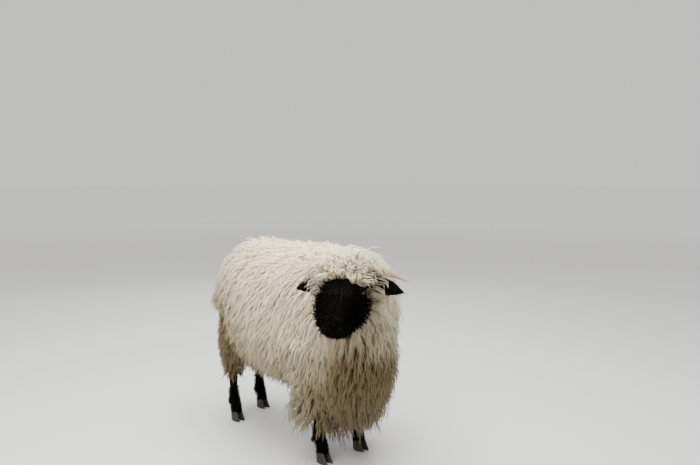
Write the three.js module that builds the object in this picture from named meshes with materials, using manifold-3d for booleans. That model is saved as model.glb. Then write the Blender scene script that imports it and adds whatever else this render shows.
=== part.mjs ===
// A Valais blacknose ewe in long fleece, standing with its head turned to its right, life size in millimetres.
// The ewe faces -Y, its own left side is +X, +Z is up, and the soles of its claws stand on z = 0.
import * as THREE from "three";
import { mergeVertices } from "three/addons/utils/BufferGeometryUtils.js";
import Module from "manifold-3d";

const wasm = await Module();
wasm.setup();

const V = (x, y, z) => new THREE.Vector3(x, y, z);
const UP = V(0, 0, 1);
const BACK = V(0, 1, 0);
const mirror = (point, side) => point.clone().multiply(V(side, 1, 1));

// Driving dimensions of the animal under its fleece
const WITHERS = 750; // height of the back over the shoulders
const RUMP = 750; // height of the back over the hips
const BRISKET = 318; // height of the underside of the chest
const BARREL_HALF_WIDTH = 160;
const BODY_FRONT = -415; // point of the chest
const BODY_END = 424; // back of the thighs
const FRONT_LEG = { x: 95, y: -235 };
const HIND_LEG = { x: 92, y: 388 };
const HIND_STAGGER = 34; // half of how far the left hind foot stands behind the right one
const COAT = 78; // depth of the fleece on the flanks, square to the skin
const CORE_SHARE = 0.5; // the part of that depth that is solid wool under the locks
const SEAM = 0.3; // gap between neighbouring pieces
const CLAW_HEIGHT = 40;
const CLAW_APART = 13.6; // from the middle of the foot to the middle of each claw
// Height, half sizes and shift forwards of a claw's sections, and how far they splay for each unit of shift
const CLAW_SECTIONS = [
  { z: 0, long: 31, wide: 12.4, shift: 14 },
  { z: 18, long: 28, wide: 12.2, shift: 8 },
  { z: CLAW_HEIGHT, long: 20, wide: 10.5, shift: 0 },
];
const CLAW_SPLAY = 0.1;
const PASTERN_REACH = 22; // how far the front foot stands ahead of its leg

// Pose of the head: where the skull meets the neck, and how far it turns right and nods down
const POLL = new THREE.Vector3(-192, -520, 740);
const HEAD_TURN = THREE.MathUtils.degToRad(-55);
const HEAD_NOD = THREE.MathUtils.degToRad(22);
const headPose = new THREE.Matrix4()
  .makeTranslation(POLL.x, POLL.y, POLL.z)
  .multiply(new THREE.Matrix4().makeRotationZ(HEAD_TURN))
  .multiply(new THREE.Matrix4().makeRotationX(HEAD_NOD));

// Sizes of the skull, in its own frame: the nose points to -Y and the joint with the neck is at the origin
const SKULL_LENGTH = 248;
const EYE = { along: 92, out: 57, up: 20, radius: 15 };
const NOSE = -SKULL_LENGTH;
// The left ear: where it grows, the way it points and the way its hollow looks
const EAR = { length: 138, width: 62, wall: 4.5 };
const EAR_ROOT = V(54, -12, 20);
const EAR_POINTS = V(0.95, -0.075, -0.3);
const EAR_FACES = V(0.35, -0.85, 0.4);
// The left horn: half sizes of its section at the root, how much of them is gone at the tip, and its middle line
const HORN = { wide: 17, thick: 12, taper: 0.86, taperPower: 1.3, groove: 0.92, twist: 1.4 };
const HORN_PATH = [V(20, -30, 40), V(56, -18, 52), V(104, 4, 44), V(152, 22, 16), V(198, 32, -12)];

// A place along a body part: its centre, half width and half height under the wool, and the depth of wool on it
const place = (x, y, z, wide, high, coat = COAT) => ({ at: V(x, y, z), wide, high, coat });

// A solid from a closed geometry, turned right side out if its faces look inwards
function solid(geometry) {
  const bare = geometry.index ? geometry.toNonIndexed() : geometry.clone();
  const welded = mergeVertices(
    new THREE.BufferGeometry().setAttribute("position", bare.getAttribute("position")),
    1e-3,
  );
  const vertProperties = welded.attributes.position.array;
  const triVerts = new Uint32Array(welded.index.array);
  const made = new wasm.Manifold(new wasm.Mesh({ numProp: 3, vertProperties, triVerts }));
  if (made.volume() > 0) return made;
  for (let i = 0; i < triVerts.length; i += 3) {
    [triVerts[i + 1], triVerts[i + 2]] = [triVerts[i + 2], triVerts[i + 1]];
  }
  return new wasm.Manifold(new wasm.Mesh({ numProp: 3, vertProperties, triVerts }));
}

// A closed skin over rings with equal numbers of points, with a pole at each end
function skinOver(rings, firstPole, lastPole) {
  const count = rings[0].length;
  const points = [firstPole, ...rings.flat(), lastPole];
  const last = points.length - 1;
  const faces = [];
  for (let i = 0; i < count; i++) {
    const j = (i + 1) % count;
    faces.push(0, 1 + j, 1 + i);
    for (let r = 0; r + 1 < rings.length; r++) {
      const [a, b] = [1 + r * count, 1 + (r + 1) * count];
      faces.push(a + i, a + j, b + j, a + i, b + j, b + i);
    }
    const end = 1 + (rings.length - 1) * count;
    faces.push(last, end + i, end + j);
  }
  return new THREE.BufferGeometry().setFromPoints(points).setIndex(faces);
}

// A closed thick sheet between two grids of points, split into triangles alike on both sides
function thickSheet(front, back) {
  const [rows, columns] = [front.length, front[0].length];
  const points = [...front.flat(), ...back.flat()];
  const index = (face, row, column) => (face * rows + row) * columns + column;
  const faces = [];
  for (let i = 0; i + 1 < rows; i++) {
    for (let j = 0; j + 1 < columns; j++) {
      const [a, b, c, d] = [index(0, i, j), index(0, i + 1, j), index(0, i + 1, j + 1), index(0, i, j + 1)];
      const under = index(1, 0, 0);
      faces.push(a, b, c, a, c, d, under + a, under + c, under + b, under + a, under + d, under + c);
    }
  }
  const border = [];
  for (let i = 0; i + 1 < rows; i++) border.push([i, 0]);
  for (let j = 0; j + 1 < columns; j++) border.push([rows - 1, j]);
  for (let i = rows - 1; i > 0; i--) border.push([i, columns - 1]);
  for (let j = columns - 1; j > 0; j--) border.push([0, j]);
  border.forEach((from, k) => {
    const to = border[(k + 1) % border.length];
    const [a, b, c, d] = [index(0, ...to), index(0, ...from), index(1, ...from), index(1, ...to)];
    faces.push(a, b, c, a, c, d);
  });
  return new THREE.BufferGeometry().setFromPoints(points).setIndex(faces);
}

// The surface of a rounded tube through places, as a function of the share of its length and the angle round it
function tubeSurface(places, { up = UP, square = 2.3, share = CORE_SHARE, swell = 0 }) {
  const path = new THREE.CatmullRomCurve3(places.map((p) => p.at));
  const sizes = new THREE.CatmullRomCurve3(places.map((p) => V(p.wide, p.high, p.coat)));
  const surface = (t, angle) => {
    const size = sizes.getPoint(t);
    const ahead = path.getTangent(t);
    const across = new THREE.Vector3().crossVectors(ahead, up).normalize();
    const over = new THREE.Vector3().crossVectors(across, ahead).normalize();
    const [x, z] = [Math.cos(angle), Math.sin(angle)].map((k) => Math.sign(k) * Math.abs(k) ** (2 / square));
    return path
      .getPoint(t)
      .addScaledVector(across, (size.x + size.z * share + swell) * x)
      .addScaledVector(over, (size.y + size.z * share + swell) * z);
  };
  return { path, sizes, surface };
}

// A closed rounded tube, with sections that are a little squarer than ellipses
function bodyTube(places, options) {
  const { sides = 16, rings = 12 } = options;
  const { path, surface } = tubeSurface(places, options);
  const made = Array.from({ length: rings + 1 }, (_, r) =>
    Array.from({ length: sides }, (__, i) => surface(r / rings, (2 * Math.PI * i) / sides)),
  );
  return skinOver(made, path.getPoint(0), path.getPoint(1));
}

function ball(centre, radii, sides = 10, rings = 6) {
  return solid(
    new THREE.SphereGeometry(1, sides, rings).scale(radii.x, radii.y, radii.z).translate(centre.x, centre.y, centre.z),
  );
}

function block(low, high) {
  const size = new THREE.Vector3().subVectors(high, low);
  const centre = new THREE.Vector3().addVectors(low, high).multiplyScalar(0.5);
  return solid(new THREE.BoxGeometry(size.x, size.y, size.z).translate(centre.x, centre.y, centre.z));
}

const union = (parts) => parts.reduce((whole, part) => whole.add(part));

function largest(body) {
  return body.decompose().reduce((best, piece) => (piece.volume() > best.volume() ? piece : best));
}

// The barrel from the chest to the thighs
function torsoPlaces() {
  const middle = (WITHERS + BRISKET) / 2;
  const depth = (WITHERS - BRISKET) / 2;
  const width = BARREL_HALF_WIDTH;
  return [
    place(0, BODY_FRONT, middle - 20, width * 0.45, depth * 0.5, COAT * 0.6),
    place(0, BODY_FRONT + 85, middle - 8, width * 0.82, depth * 0.88),
    place(0, FRONT_LEG.y + 10, middle, width * 0.94, depth),
    place(0, -60, middle - 4, width, depth * 0.98),
    place(0, 120, middle, width * 1.02, depth * 0.97),
    place(0, HIND_LEG.y - 85, RUMP - depth * 0.93, width * 0.97, depth * 0.93),
    place(0, BODY_END - 65, RUMP - depth * 0.9, width * 0.78, depth * 0.76),
    place(0, BODY_END, RUMP - depth * 0.9, width * 0.4, depth * 0.42, COAT * 0.6),
  ];
}

// The neck, from between the shoulders up to the poll
function neckPlaces() {
  return [
    place(0, FRONT_LEG.y - 20, WITHERS - 140, 88, 130),
    place(-28, -350, 632, 78, 116, COAT),
    place(-100, -440, 682, 66, 92, COAT * 0.95),
    place(POLL.x + 10, POLL.y + 10, POLL.z - 20, 56, 68, COAT * 0.75),
  ];
}

// The front of the chest, where the wool hangs from the throat to between the legs
function bibPlaces() {
  return [
    place(-156, -500, 625, 44, 38, COAT * 0.7),
    place(-120, -480, 545, 58, 52, COAT * 0.85),
    place(-74, -440, 445, 74, 66, COAT * 0.9),
    place(-34, -385, 340, 82, 66, COAT * 0.85),
    place(-8, -335, 250, 62, 48, COAT * 0.7),
    place(0, -310, 205, 40, 30, COAT * 0.4),
  ];
}

function frontLegPlaces(side) {
  const x = side * FRONT_LEG.x;
  const y = FRONT_LEG.y;
  return [
    place(x, y + 5, 470, 66, 90, COAT * 0.4),
    place(x, y, 375, 58, 70, COAT * 0.8),
    place(x, y - 5, 300, 44, 50, COAT),
    place(x, y, 235, 30, 36, COAT * 0.95),
    place(x, y, 180, 22, 26, COAT * 0.7),
    place(x, y, 140, 18, 21, COAT * 0.25),
    place(x, y - 2, 90, 21, 25, 2),
    place(x, y - 18, 60, 20, 22, 1),
    place(x, y - PASTERN_REACH, CLAW_HEIGHT - 8, 23, 22, 0),
  ];
}

// One hind foot stands a little behind the other, and its leg leans with it
function hindLegPlaces(side) {
  const x = side * HIND_LEG.x;
  const y = HIND_LEG.y + side * HIND_STAGGER;
  const hip = HIND_LEG.y - 98;
  return [
    place(x + side * 12, hip, 540, 58, 105, COAT * 0.3),
    place(x + side * 12, hip + 8, 430, 62, 96, COAT * 0.5),
    place(x + side * 6, (hip + y) / 2 + 20, 345, 46, 62, COAT * 0.65),
    place(x, y + 22, 270, 27, 38, COAT * 0.65),
    place(x, y + 24, 190, 19, 23, COAT * 0.4),
    place(x, y + 20, 120, 18, 21, COAT * 0.1),
    place(x, y + 16, 88, 22, 26, 2),
    place(x, y + 2, 60, 20, 22, 1),
    place(x, y, CLAW_HEIGHT - 8, 23, 22, 0),
  ];
}

function tailPlaces() {
  return [
    place(0, BODY_END - 40, RUMP - 70, 20, 20, 8),
    place(0, BODY_END + 50, RUMP - 85, 18, 16, 28),
    place(0, BODY_END + 88, RUMP - 170, 16, 14, 40),
    place(0, BODY_END + 95, RUMP - 280, 13, 12, 40),
    place(0, BODY_END + 88, RUMP - 380, 8, 8, 26),
  ];
}

// The skull under short wool, in its own frame: half width, top and underside at each distance from the poll
function skullPlaces() {
  const section = (along, wide, top, under) =>
    place(0, -along * SKULL_LENGTH, (top + under) / 2, wide, (top - under) / 2, 0);
  return [
    section(-0.12, 48, 40, -50),
    section(0.06, 64, 56, -78),
    section(0.24, 70, 64, -94),
    section(0.4, 70, 61, -92),
    section(0.56, 62, 54, -84),
    section(0.72, 54, 43, -75),
    section(0.88, 50, 28, -67),
    section(0.97, 43, 14, -60),
    section(1.02, 28, 0, -48),
  ];
}

function eyeCentre(side) {
  return V(side * EYE.out, -EYE.along, EYE.up);
}

function eyeBall(side, swell = 0) {
  const r = EYE.radius + swell;
  return ball(eyeCentre(side), V(r, r, r), 12, 8);
}

// The rim of upper and lower lid, round the eye and leaning with the side of the face
function eyeLids(side) {
  const rim = new THREE.TorusGeometry(14.5, 4.4, 5, 12).scale(1.16, 0.84, 1.2);
  rim.rotateY((side * Math.PI) / 2.35).rotateZ(side * 0.12);
  const eye = eyeCentre(side);
  return solid(rim.translate(eye.x + side * 8.5, eye.y - 3, eye.z));
}

// The face with its lips, nostrils and the line of the mouth
function skull() {
  const shape = (swell) => solid(bodyTube(skullPlaces(), { sides: 16, rings: 11, square: 2.5, share: 0, swell }));
  const lips = [-1, 1].map((side) => ball(V(side * 15, NOSE + 20, -24), V(22, 22, 19)));
  const chin = ball(V(0, NOSE + 30, -47), V(25, 24, 16));
  const lids = [-1, 1].map(eyeLids);
  const nostrils = [-1, 1].map((side) =>
    solid(
      new THREE.SphereGeometry(1, 8, 5)
        .scale(5.5, 12, 5)
        .rotateZ(side * 0.75)
        .rotateX(0.5)
        .translate(side * 17, NOSE - 4, -8),
    ),
  );
  const muzzle = union([shape(0), ...lips, chin]);
  const inside = union([shape(-5), ball(V(0, NOSE + 26, -34), V(27, 24, 20))]);
  const gape = block(V(-70, NOSE - 30, -36), V(70, NOSE + 66, -33.6)).subtract(inside);
  return union([muzzle, ...lids]).subtract(union(nostrils)).subtract(gape);
}

// A cupped ear: rolled into a tube at its root and open like a leaf towards its tip
function ear(side, swell = 0) {
  const [steps, across] = [7, 6];
  const sheet = (face) =>
    Array.from({ length: steps + 1 }, (_, i) => {
      const u = i / steps;
      const width = EAR.width * (0.46 + 0.54 * Math.sin(Math.PI * u ** 0.8) ** 0.8) * (1 - u ** 6 * 0.8);
      const roll = THREE.MathUtils.lerp(2.3, 0.62, Math.min(1, u * 1.7));
      const radius = width / 2 / roll;
      return Array.from({ length: across + 1 }, (__, j) => {
        const v = (2 * j) / across - 1;
        const thick = (EAR.wall / 2) * (1 - 0.55 * v * v) * (1 - 0.5 * u) + swell;
        const reach = radius + face * thick;
        const angle = roll * v * (1 + (2 * swell) / width);
        return V(u * EAR.length + (2 * u - 1) * swell, -reach * Math.sin(angle), radius - reach * Math.cos(angle));
      });
    });
  const geometry = thickSheet(sheet(1), sheet(-1));
  // The ear's own +X becomes the way it points, and its hollow looks forwards and down
  const pointing = mirror(EAR_POINTS, side).normalize();
  const hollow = mirror(EAR_FACES, side);
  const acrossWay = new THREE.Vector3().crossVectors(hollow, pointing).normalize();
  const openWay = new THREE.Vector3().crossVectors(pointing, acrossWay).normalize();
  const turn = new THREE.Matrix4().makeBasis(pointing, acrossWay, openWay);
  return solid(geometry.applyMatrix4(turn.setPosition(mirror(EAR_ROOT, side))));
}

// A flattened horn that sweeps out sideways, a little back and down, and turns up at its tip
function horn(side, swell = 0) {
  const path = new THREE.CatmullRomCurve3(HORN_PATH.map((point) => mirror(point, side)));
  const [steps, lastRidge, around] = [14, 11, 7];
  const rings = Array.from({ length: steps + 1 }, (_, i) => {
    const t = i / steps;
    const taper = 1 - HORN.taper * t ** HORN.taperPower;
    const ridge = i % 2 && i <= lastRidge ? 1 : HORN.groove;
    const ahead = path.getTangent(t);
    const across = new THREE.Vector3().crossVectors(ahead, V(0, 0.6, 0.8)).normalize();
    const over = new THREE.Vector3().crossVectors(across, ahead).normalize();
    return Array.from({ length: around }, (__, k) => {
      const angle = (2 * Math.PI * k) / around + t * HORN.twist * side;
      return path
        .getPoint(t)
        .addScaledVector(across, (HORN.wide * taper * ridge + swell) * Math.cos(angle))
        .addScaledVector(over, (HORN.thick * taper * ridge + swell) * Math.sin(angle));
    });
  });
  return solid(skinOver(rings, path.getPoint(0), path.getPoint(1).addScaledVector(path.getTangent(1), 3)));
}

// One claw of a cloven foot, flat underneath, with its toe towards -Y
function claw(x, y, toeOut) {
  const around = 12;
  const section = ({ z, long, wide, shift }) =>
    Array.from({ length: around }, (_, i) => {
      const angle = (2 * Math.PI * i) / around;
      const splayed = toeOut * shift * CLAW_SPLAY;
      return V(x + wide * Math.cos(angle) + splayed, y - shift + long * Math.sin(angle), z);
    });
  const [sole, crown] = [V(x, y - CLAW_SECTIONS[0].shift, 0), V(x, y, CLAW_HEIGHT)];
  return solid(skinOver(CLAW_SECTIONS.map(section), sole, crown));
}

// The wool of the head under its longest locks: topknot, cheeks and throat
const hoodPlaces = [
  place(0, 30, -8, 52, 52, 62),
  place(0, -15, -4, 62, 64, 66),
  place(0, -60, -6, 64, 68, 60),
  place(0, -96, -8, 60, 62, 32),
];
const placed = (body) => body.transform(headPose.elements);
const onHead = (places) => places.map((p) => ({ ...p, at: p.at.clone().applyMatrix4(headPose) }));
const crownUp = V(0, 0, 1).transformDirection(headPose);

// How the wool of each part grows: how far apart its locks stand, how long and wide they are and how they fall
const SPINE_FALL = V(0, 0.3, -1);
const HANGING = V(0, 0.05, -1);
const FORELOCK = V(-0.45, -0.4, -0.8);
const leg = { sides: 10, rings: 13, up: BACK, square: 2 };
const coats = [
  { places: torsoPlaces(), sides: 20, rings: 14, apart: 118, long: 205, wide: 58, fall: SPINE_FALL },
  { places: neckPlaces(), sides: 16, rings: 7, apart: 104, long: 175, wide: 50, fall: HANGING },
  { places: bibPlaces(), sides: 14, rings: 8, up: BACK, apart: 98, long: 175, wide: 47, fall: HANGING },
  { places: tailPlaces(), sides: 8, rings: 8, up: BACK, square: 2, apart: 92, long: 125, wide: 34, fall: HANGING },
  ...[-1, 1].map((side) => ({ places: frontLegPlaces(side), ...leg, apart: 98, long: 125, wide: 43, fall: HANGING })),
  ...[-1, 1].map((side) => ({ places: hindLegPlaces(side), ...leg, apart: 98, long: 125, wide: 43, fall: HANGING })),
  { places: onHead(hoodPlaces), sides: 14, rings: 7, up: crownUp, apart: 62, long: 92, wide: 31, fall: FORELOCK },
];
const LOCK = { thick: 15, sunk: 30, sway: 0.16, unlike: 0.18 }; // half thickness, and how much locks differ
const BARE_SHIN = 150; // below this height the legs are short-haired
const EAR_ROOM = 46; // no lock is rooted this near an ear or horn
const THIN_COAT = 12; // wool less deep than this has no locks
const CROWDED = 0.55; // roots nearer than this share of their spacing are left out
const ROW_STARTS = [0.15, 0.65]; // where rows of locks begin by turns, as shares of their spacing
const BARE_FACE = 0.72; // no lock is rooted nearer to the nose than this share of the skull's length
const EAR_BASE = V(80, -10, 34); // middle of the left ear and horn where they leave the wool

// Random numbers from 0 to 1, alike in each run
function seededRandom(seed) {
  let state = seed;
  return () => {
    state = (state + 0x6d2b79f5) | 0;
    let mixed = Math.imul(state ^ (state >>> 15), 1 | state);
    mixed = (mixed + Math.imul(mixed ^ (mixed >>> 7), 61 | mixed)) ^ mixed;
    return ((mixed ^ (mixed >>> 14)) >>> 0) / 4294967296;
  };
}
const random = seededRandom(7);
const spread = (share) => 1 + share * (2 * random() - 1);

// Whether a point lies inside a closed mesh: a ray from it leaves through an odd number of faces
function isInside(point, mesh) {
  const ray = new THREE.Raycaster(point, V(0.31, 0.17, 0.93).normalize());
  return ray.intersectObject(mesh).length % 2 === 1;
}

// Angles round a tube that part one of its rings into equal lengths, about `apart` long, from a given start
function evenAngles(surface, t, apart, start) {
  const fine = 60;
  const round = Array.from({ length: fine + 1 }, (_, i) => surface(t, (2 * Math.PI * i) / fine));
  const reached = [0];
  for (let i = 1; i <= fine; i++) reached.push(reached[i - 1] + round[i].distanceTo(round[i - 1]));
  const count = Math.max(3, Math.round(reached[fine] / apart));
  return Array.from({ length: count }, (_, k) => {
    const target = ((k + start) / count) * reached[fine];
    const i = reached.findIndex((length) => length > target) - 1;
    return (2 * Math.PI * (i + (target - reached[i]) / (reached[i + 1] - reached[i]))) / fine;
  });
}

// Places for the roots of locks, in staggered rows over what shows of the cores
function lockRoots(meshes) {
  const taken = [];
  const clearings = [-1, 1].map((side) => mirror(EAR_BASE, side).applyMatrix4(headPose));
  const nose = V(0, NOSE, 0).applyMatrix4(headPose);
  coats.forEach((coat, own) => {
    const { path, surface, sizes } = tubeSurface(coat.places, coat);
    const rows = Math.round(path.getLength() / coat.apart);
    for (let row = 0; row < rows; row++) {
      const t = path.getUtoTmapping((row + 0.5) / rows);
      const depth = sizes.getPoint(t).z;
      for (const even of evenAngles(surface, t, coat.apart, ROW_STARTS[row % 2])) {
        const angle = even * spread(0.02);
        const point = surface(t, angle);
        const step = 0.01;
        const ahead = surface(t + step, angle).sub(surface(t - step, angle));
        const round = surface(t, angle + step).sub(surface(t, angle - step));
        const normal = new THREE.Vector3().crossVectors(ahead, round).normalize();
        const outwards = new THREE.Vector3().subVectors(point, path.getPoint(t));
        if (normal.dot(outwards) < 0) normal.negate();
        const near = (root) => root.point.distanceTo(point) < (CROWDED * (coat.apart + root.coat.apart)) / 2;
        if (depth < THIN_COAT || point.z < BARE_SHIN || taken.some(near)) continue;
        if (clearings.some((place) => place.distanceTo(point) < EAR_ROOM)) continue;
        if (nose.distanceTo(point) < SKULL_LENGTH * BARE_FACE) continue;
        if (meshes.some((mesh, i) => i !== own && isInside(point, mesh))) continue;
        taken.push({ point, normal, coat, depth: depth * (1 - CORE_SHARE) });
      }
    }
  });
  return taken;
}

// A flat tapered lock that rises from its sunk root, follows the fall of the coat and bends in at its tip
function lock({ point, normal, coat, depth }) {
  const drop = coat.fall.dot(normal);
  const lie = coat.fall.clone().addScaledVector(normal, -drop);
  lie.setLength(drop > 0 ? THREE.MathUtils.lerp(1, 0.5, drop) : THREE.MathUtils.lerp(1, 0.85, -drop));
  const across = new THREE.Vector3().crossVectors(lie, normal).normalize();
  const [long, wide, thick] = [coat.long, coat.wide, LOCK.thick].map((size) => size * spread(LOCK.unlike));
  const sway = coat.long * LOCK.sway * (2 * random() - 1);
  const upwards = Math.max(0, -drop); // locks on the back lie flatter
  const lift = depth * spread(LOCK.unlike) * (1 - 0.12 * upwards) - thick * 0.7;
  const at = (s, rise) =>
    point
      .clone()
      .addScaledVector(lie, long * (s - 0.3))
      .addScaledVector(across, sway * s * s)
      .addScaledVector(normal, rise);
  const ring = (s, rise, width, thickness) =>
    [[-1, 0], [0, 1], [1, 0], [0, -1]].map(([x, z]) =>
      at(s, rise).addScaledVector(across, width * x).addScaledVector(normal, thickness * z),
    );
  const rings = [
    ring(0, -LOCK.sunk, wide * 0.55, thick),
    ring(0.36, lift * 0.72, wide, thick),
    ring(0.7, lift, wide * 0.68, thick * 0.8),
  ];
  return solid(skinOver(rings, at(0, -LOCK.sunk), at(1, lift * 0.7)));
}

// The whole animal, as one body that is parted into named pieces afterwards
const woolMaterial = new THREE.MeshBasicMaterial({ side: THREE.DoubleSide });
const coreMeshes = coats.map((coat) => new THREE.Mesh(bodyTube(coat.places, coat), woolMaterial));
const cores = coreMeshes.map((mesh) => solid(mesh.geometry));
const locks = lockRoots(coreMeshes).map(lock);
const whole = union([...cores, placed(skull()), ...locks]);

const sides = { left: 1, right: -1 };
const pieces = {};
const cutters = [];
for (const [name, side] of Object.entries(sides)) {
  pieces["ear_" + name] = placed(ear(side));
  pieces["horn_" + name] = placed(horn(side));
  pieces["eye_" + name] = placed(eyeBall(side));
  cutters.push(placed(ear(side, SEAM)), placed(horn(side, SEAM)), placed(eyeBall(side, SEAM)));
}

// Zones that part the body: each takes what lies inside it, and the rest is cut back by the seam
const zone = (low, high) => (grow) => block(low.clone().subScalar(grow), high.clone().addScalar(grow));
const mirrored = (low, high, side) =>
  side > 0 ? zone(low, high) : zone(V(-high.x, low.y, low.z), V(-low.x, high.y, high.z));
const beyond = (point, facing) => (grow) => {
  const turn = new THREE.Quaternion().setFromUnitVectors(UP, facing.clone().normalize());
  const half = new THREE.BoxGeometry(900, 900, 600).translate(0, 0, 300 - grow);
  return solid(half.applyQuaternion(turn).translate(point.x, point.y, point.z));
};
// How far the zone of a leg reaches ahead of it, behind it and outwards, and how high
const LEG_ZONES = {
  front: { ahead: 150, behind: 150, out: 160, top: 290 },
  hind: { ahead: 170, behind: 150, out: 140, top: 325 },
};
const zones = {
  tail: zone(V(-75, BODY_END + 50, 330), V(75, BODY_END + 260, 720)),
};
const ankle = CLAW_HEIGHT + SEAM; // the legs end flat on top of the claws
for (const [name, side] of Object.entries(sides)) {
  const feet = { front: FRONT_LEG, hind: { x: HIND_LEG.x, y: HIND_LEG.y + side * HIND_STAGGER } };
  for (const [end, foot] of Object.entries(feet)) {
    const { ahead, behind, out, top } = LEG_ZONES[end];
    const [low, high] = [V(SEAM / 2, foot.y - ahead, ankle), V(foot.x + out, foot.y + behind, top)];
    zones[`leg_${end}_${name}`] = mirrored(low, high, side);
  }
}
// The head and the neck are parted off by planes square to the neck
zones.head = beyond(V(-168, -500, 700), V(-0.62, -0.46, 0.5));
zones.neck = beyond(V(-20, -370, 600), V(-0.55, -0.68, 0.48));

let rest = whole.subtract(union(cutters));
for (const [name, shape] of Object.entries(zones)) {
  pieces[name] = largest(rest.intersect(shape(0)));
  rest = rest.subtract(shape(SEAM));
}
pieces.torso = largest(rest);
for (const [name, side] of Object.entries(sides)) {
  const feet = {
    front: V(side * FRONT_LEG.x, FRONT_LEG.y - PASTERN_REACH, 0),
    hind: V(side * HIND_LEG.x, HIND_LEG.y + side * HIND_STAGGER, 0),
  };
  for (const [end, foot] of Object.entries(feet)) {
    for (const [toe, out] of Object.entries({ outer: side, inner: -side })) {
      pieces["claw_" + end + "_" + name + "_" + toe] = claw(foot.x + out * CLAW_APART, foot.y, out);
    }
  }
}

// Colours of the finished pieces
const paint = (color, roughness) => new THREE.MeshStandardMaterial({ color, roughness, metalness: 0 });
const finishes = {
  fleece: paint(0xd8cfbb, 0.95),
  black: paint(0x0d0b0a, 0.9),
  horn: paint(0xc9a27c, 0.55),
  eye: paint(0x1a0f08, 0.1),
  claw: paint(0x191614, 0.6),
};
const finishOf = (name) => finishes[name.split("_")[0]] ?? (name.startsWith("ear") ? finishes.black : finishes.fleece);

const sheep = new THREE.Group();
sheep.name = "sheep";
for (const [name, body] of Object.entries(pieces)) {
  const mesh = body.getMesh();
  const geometry = new THREE.BufferGeometry()
    .setAttribute("position", new THREE.BufferAttribute(mesh.vertProperties, 3))
    .setIndex(new THREE.BufferAttribute(mesh.triVerts, 1));
  const piece = new THREE.Mesh(geometry, finishOf(name));
  piece.name = name;
  sheep.add(piece);
}

// The origin is on the ground, below the middle of everything
const middle = new THREE.Box3().setFromObject(sheep).getCenter(V(0, 0, 0));
sheep.position.set(-middle.x, -middle.y, 0);

export default sheep;
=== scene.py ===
"""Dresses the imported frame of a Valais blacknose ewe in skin, fleece, horns, eyes and claws, in metres."""
import logging
import math
from collections.abc import Callable
from dataclasses import dataclass, field
from enum import Enum

import bpy
import numpy as np
from bpy.types import ID, Material, Mesh, Node, NodeSocket, Object
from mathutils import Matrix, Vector
from mathutils.kdtree import KDTree

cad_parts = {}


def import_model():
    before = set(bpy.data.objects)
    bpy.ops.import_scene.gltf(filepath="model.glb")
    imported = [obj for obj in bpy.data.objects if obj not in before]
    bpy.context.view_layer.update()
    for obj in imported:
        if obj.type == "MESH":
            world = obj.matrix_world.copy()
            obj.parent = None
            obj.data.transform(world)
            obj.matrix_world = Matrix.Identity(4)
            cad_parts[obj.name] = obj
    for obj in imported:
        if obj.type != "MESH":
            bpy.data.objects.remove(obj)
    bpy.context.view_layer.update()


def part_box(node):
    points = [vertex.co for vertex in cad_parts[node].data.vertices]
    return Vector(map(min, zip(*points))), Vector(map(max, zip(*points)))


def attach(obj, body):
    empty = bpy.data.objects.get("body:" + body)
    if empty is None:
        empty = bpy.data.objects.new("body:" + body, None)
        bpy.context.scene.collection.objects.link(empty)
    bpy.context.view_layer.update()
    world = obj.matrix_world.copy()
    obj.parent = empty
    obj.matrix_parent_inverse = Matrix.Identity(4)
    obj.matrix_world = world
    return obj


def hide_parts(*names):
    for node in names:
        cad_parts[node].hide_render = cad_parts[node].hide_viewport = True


log = logging.getLogger("ewe")
Array = np.ndarray
Triple = tuple[float, float, float]  # a place, a way, three sizes or a colour
SIDES = {"left": 1, "right": -1}
SIDE_NAMES = {side: name for name, side in SIDES.items()}
TUFT_PATCH = 0.003  # how much of the unwrap one tuft covers
FLOOR_ROOM = 0.03  # no wool hangs lower than this
SKIN_SHARE = 0.2  # the skin has the colour of hair this near its root
# Painted shade: the skin is painted as wool in shade, this share as light as the wool
SKIN_SHADE_TONE = 0.8
TRIES = 3.2  # places drawn for each square that can hold one
ROUND = 2 * math.pi
# Waves whose sum makes the irregular patterns of the coat
RIPPLE_WAYS = ((1, 0.3, -0.5), (-0.4, 1, 0.6), (0.5, -0.7, 1), (1.3, 1.1, 0.2), (-1.1, 0.4, 1.4))
RIPPLE_SHIFT = 1.7
RIPPLE_PEAK = 3.2


def unit(vectors: Array) -> Array:
    """Vectors brought to length one along the last axis."""
    return vectors / np.maximum(np.linalg.norm(vectors, axis=-1, keepdims=True), 1e-9)


def eased(low: float, high: float, value: Array) -> Array:
    """0 below low, 1 above high and a smooth climb between them."""
    share = np.clip((value - low) / (high - low), 0.0, 1.0)
    return share * share * (3 - 2 * share)


def ripple(points: Array, size: float, seed: float = 0.0) -> Array:
    """A smooth irregular pattern in space.

    Args:
        points: Places, one a row.
        size: Rough distance between neighbouring hills.
        seed: Shifts the pattern.

    Returns:
        A value from about -1 to 1 for each place.
    """
    scaled = points * (ROUND / size)
    waves = np.zeros(len(points))
    for k, way in enumerate(RIPPLE_WAYS):
        waves += np.sin(scaled @ np.array(way) + RIPPLE_SHIFT * k + seed * (k + 1))
    return waves / RIPPLE_PEAK


def away(points: Array, place: Array | Triple) -> Array:
    """Distance of each point from a place."""
    return np.linalg.norm(points - place, axis=1)


def sorted_tree(points: Array) -> KDTree:
    """Points sorted for quick searching."""
    tree = KDTree(len(points))
    for k, point in enumerate(points.tolist()):
        tree.insert(point, k)
    tree.balance()
    return tree


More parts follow.
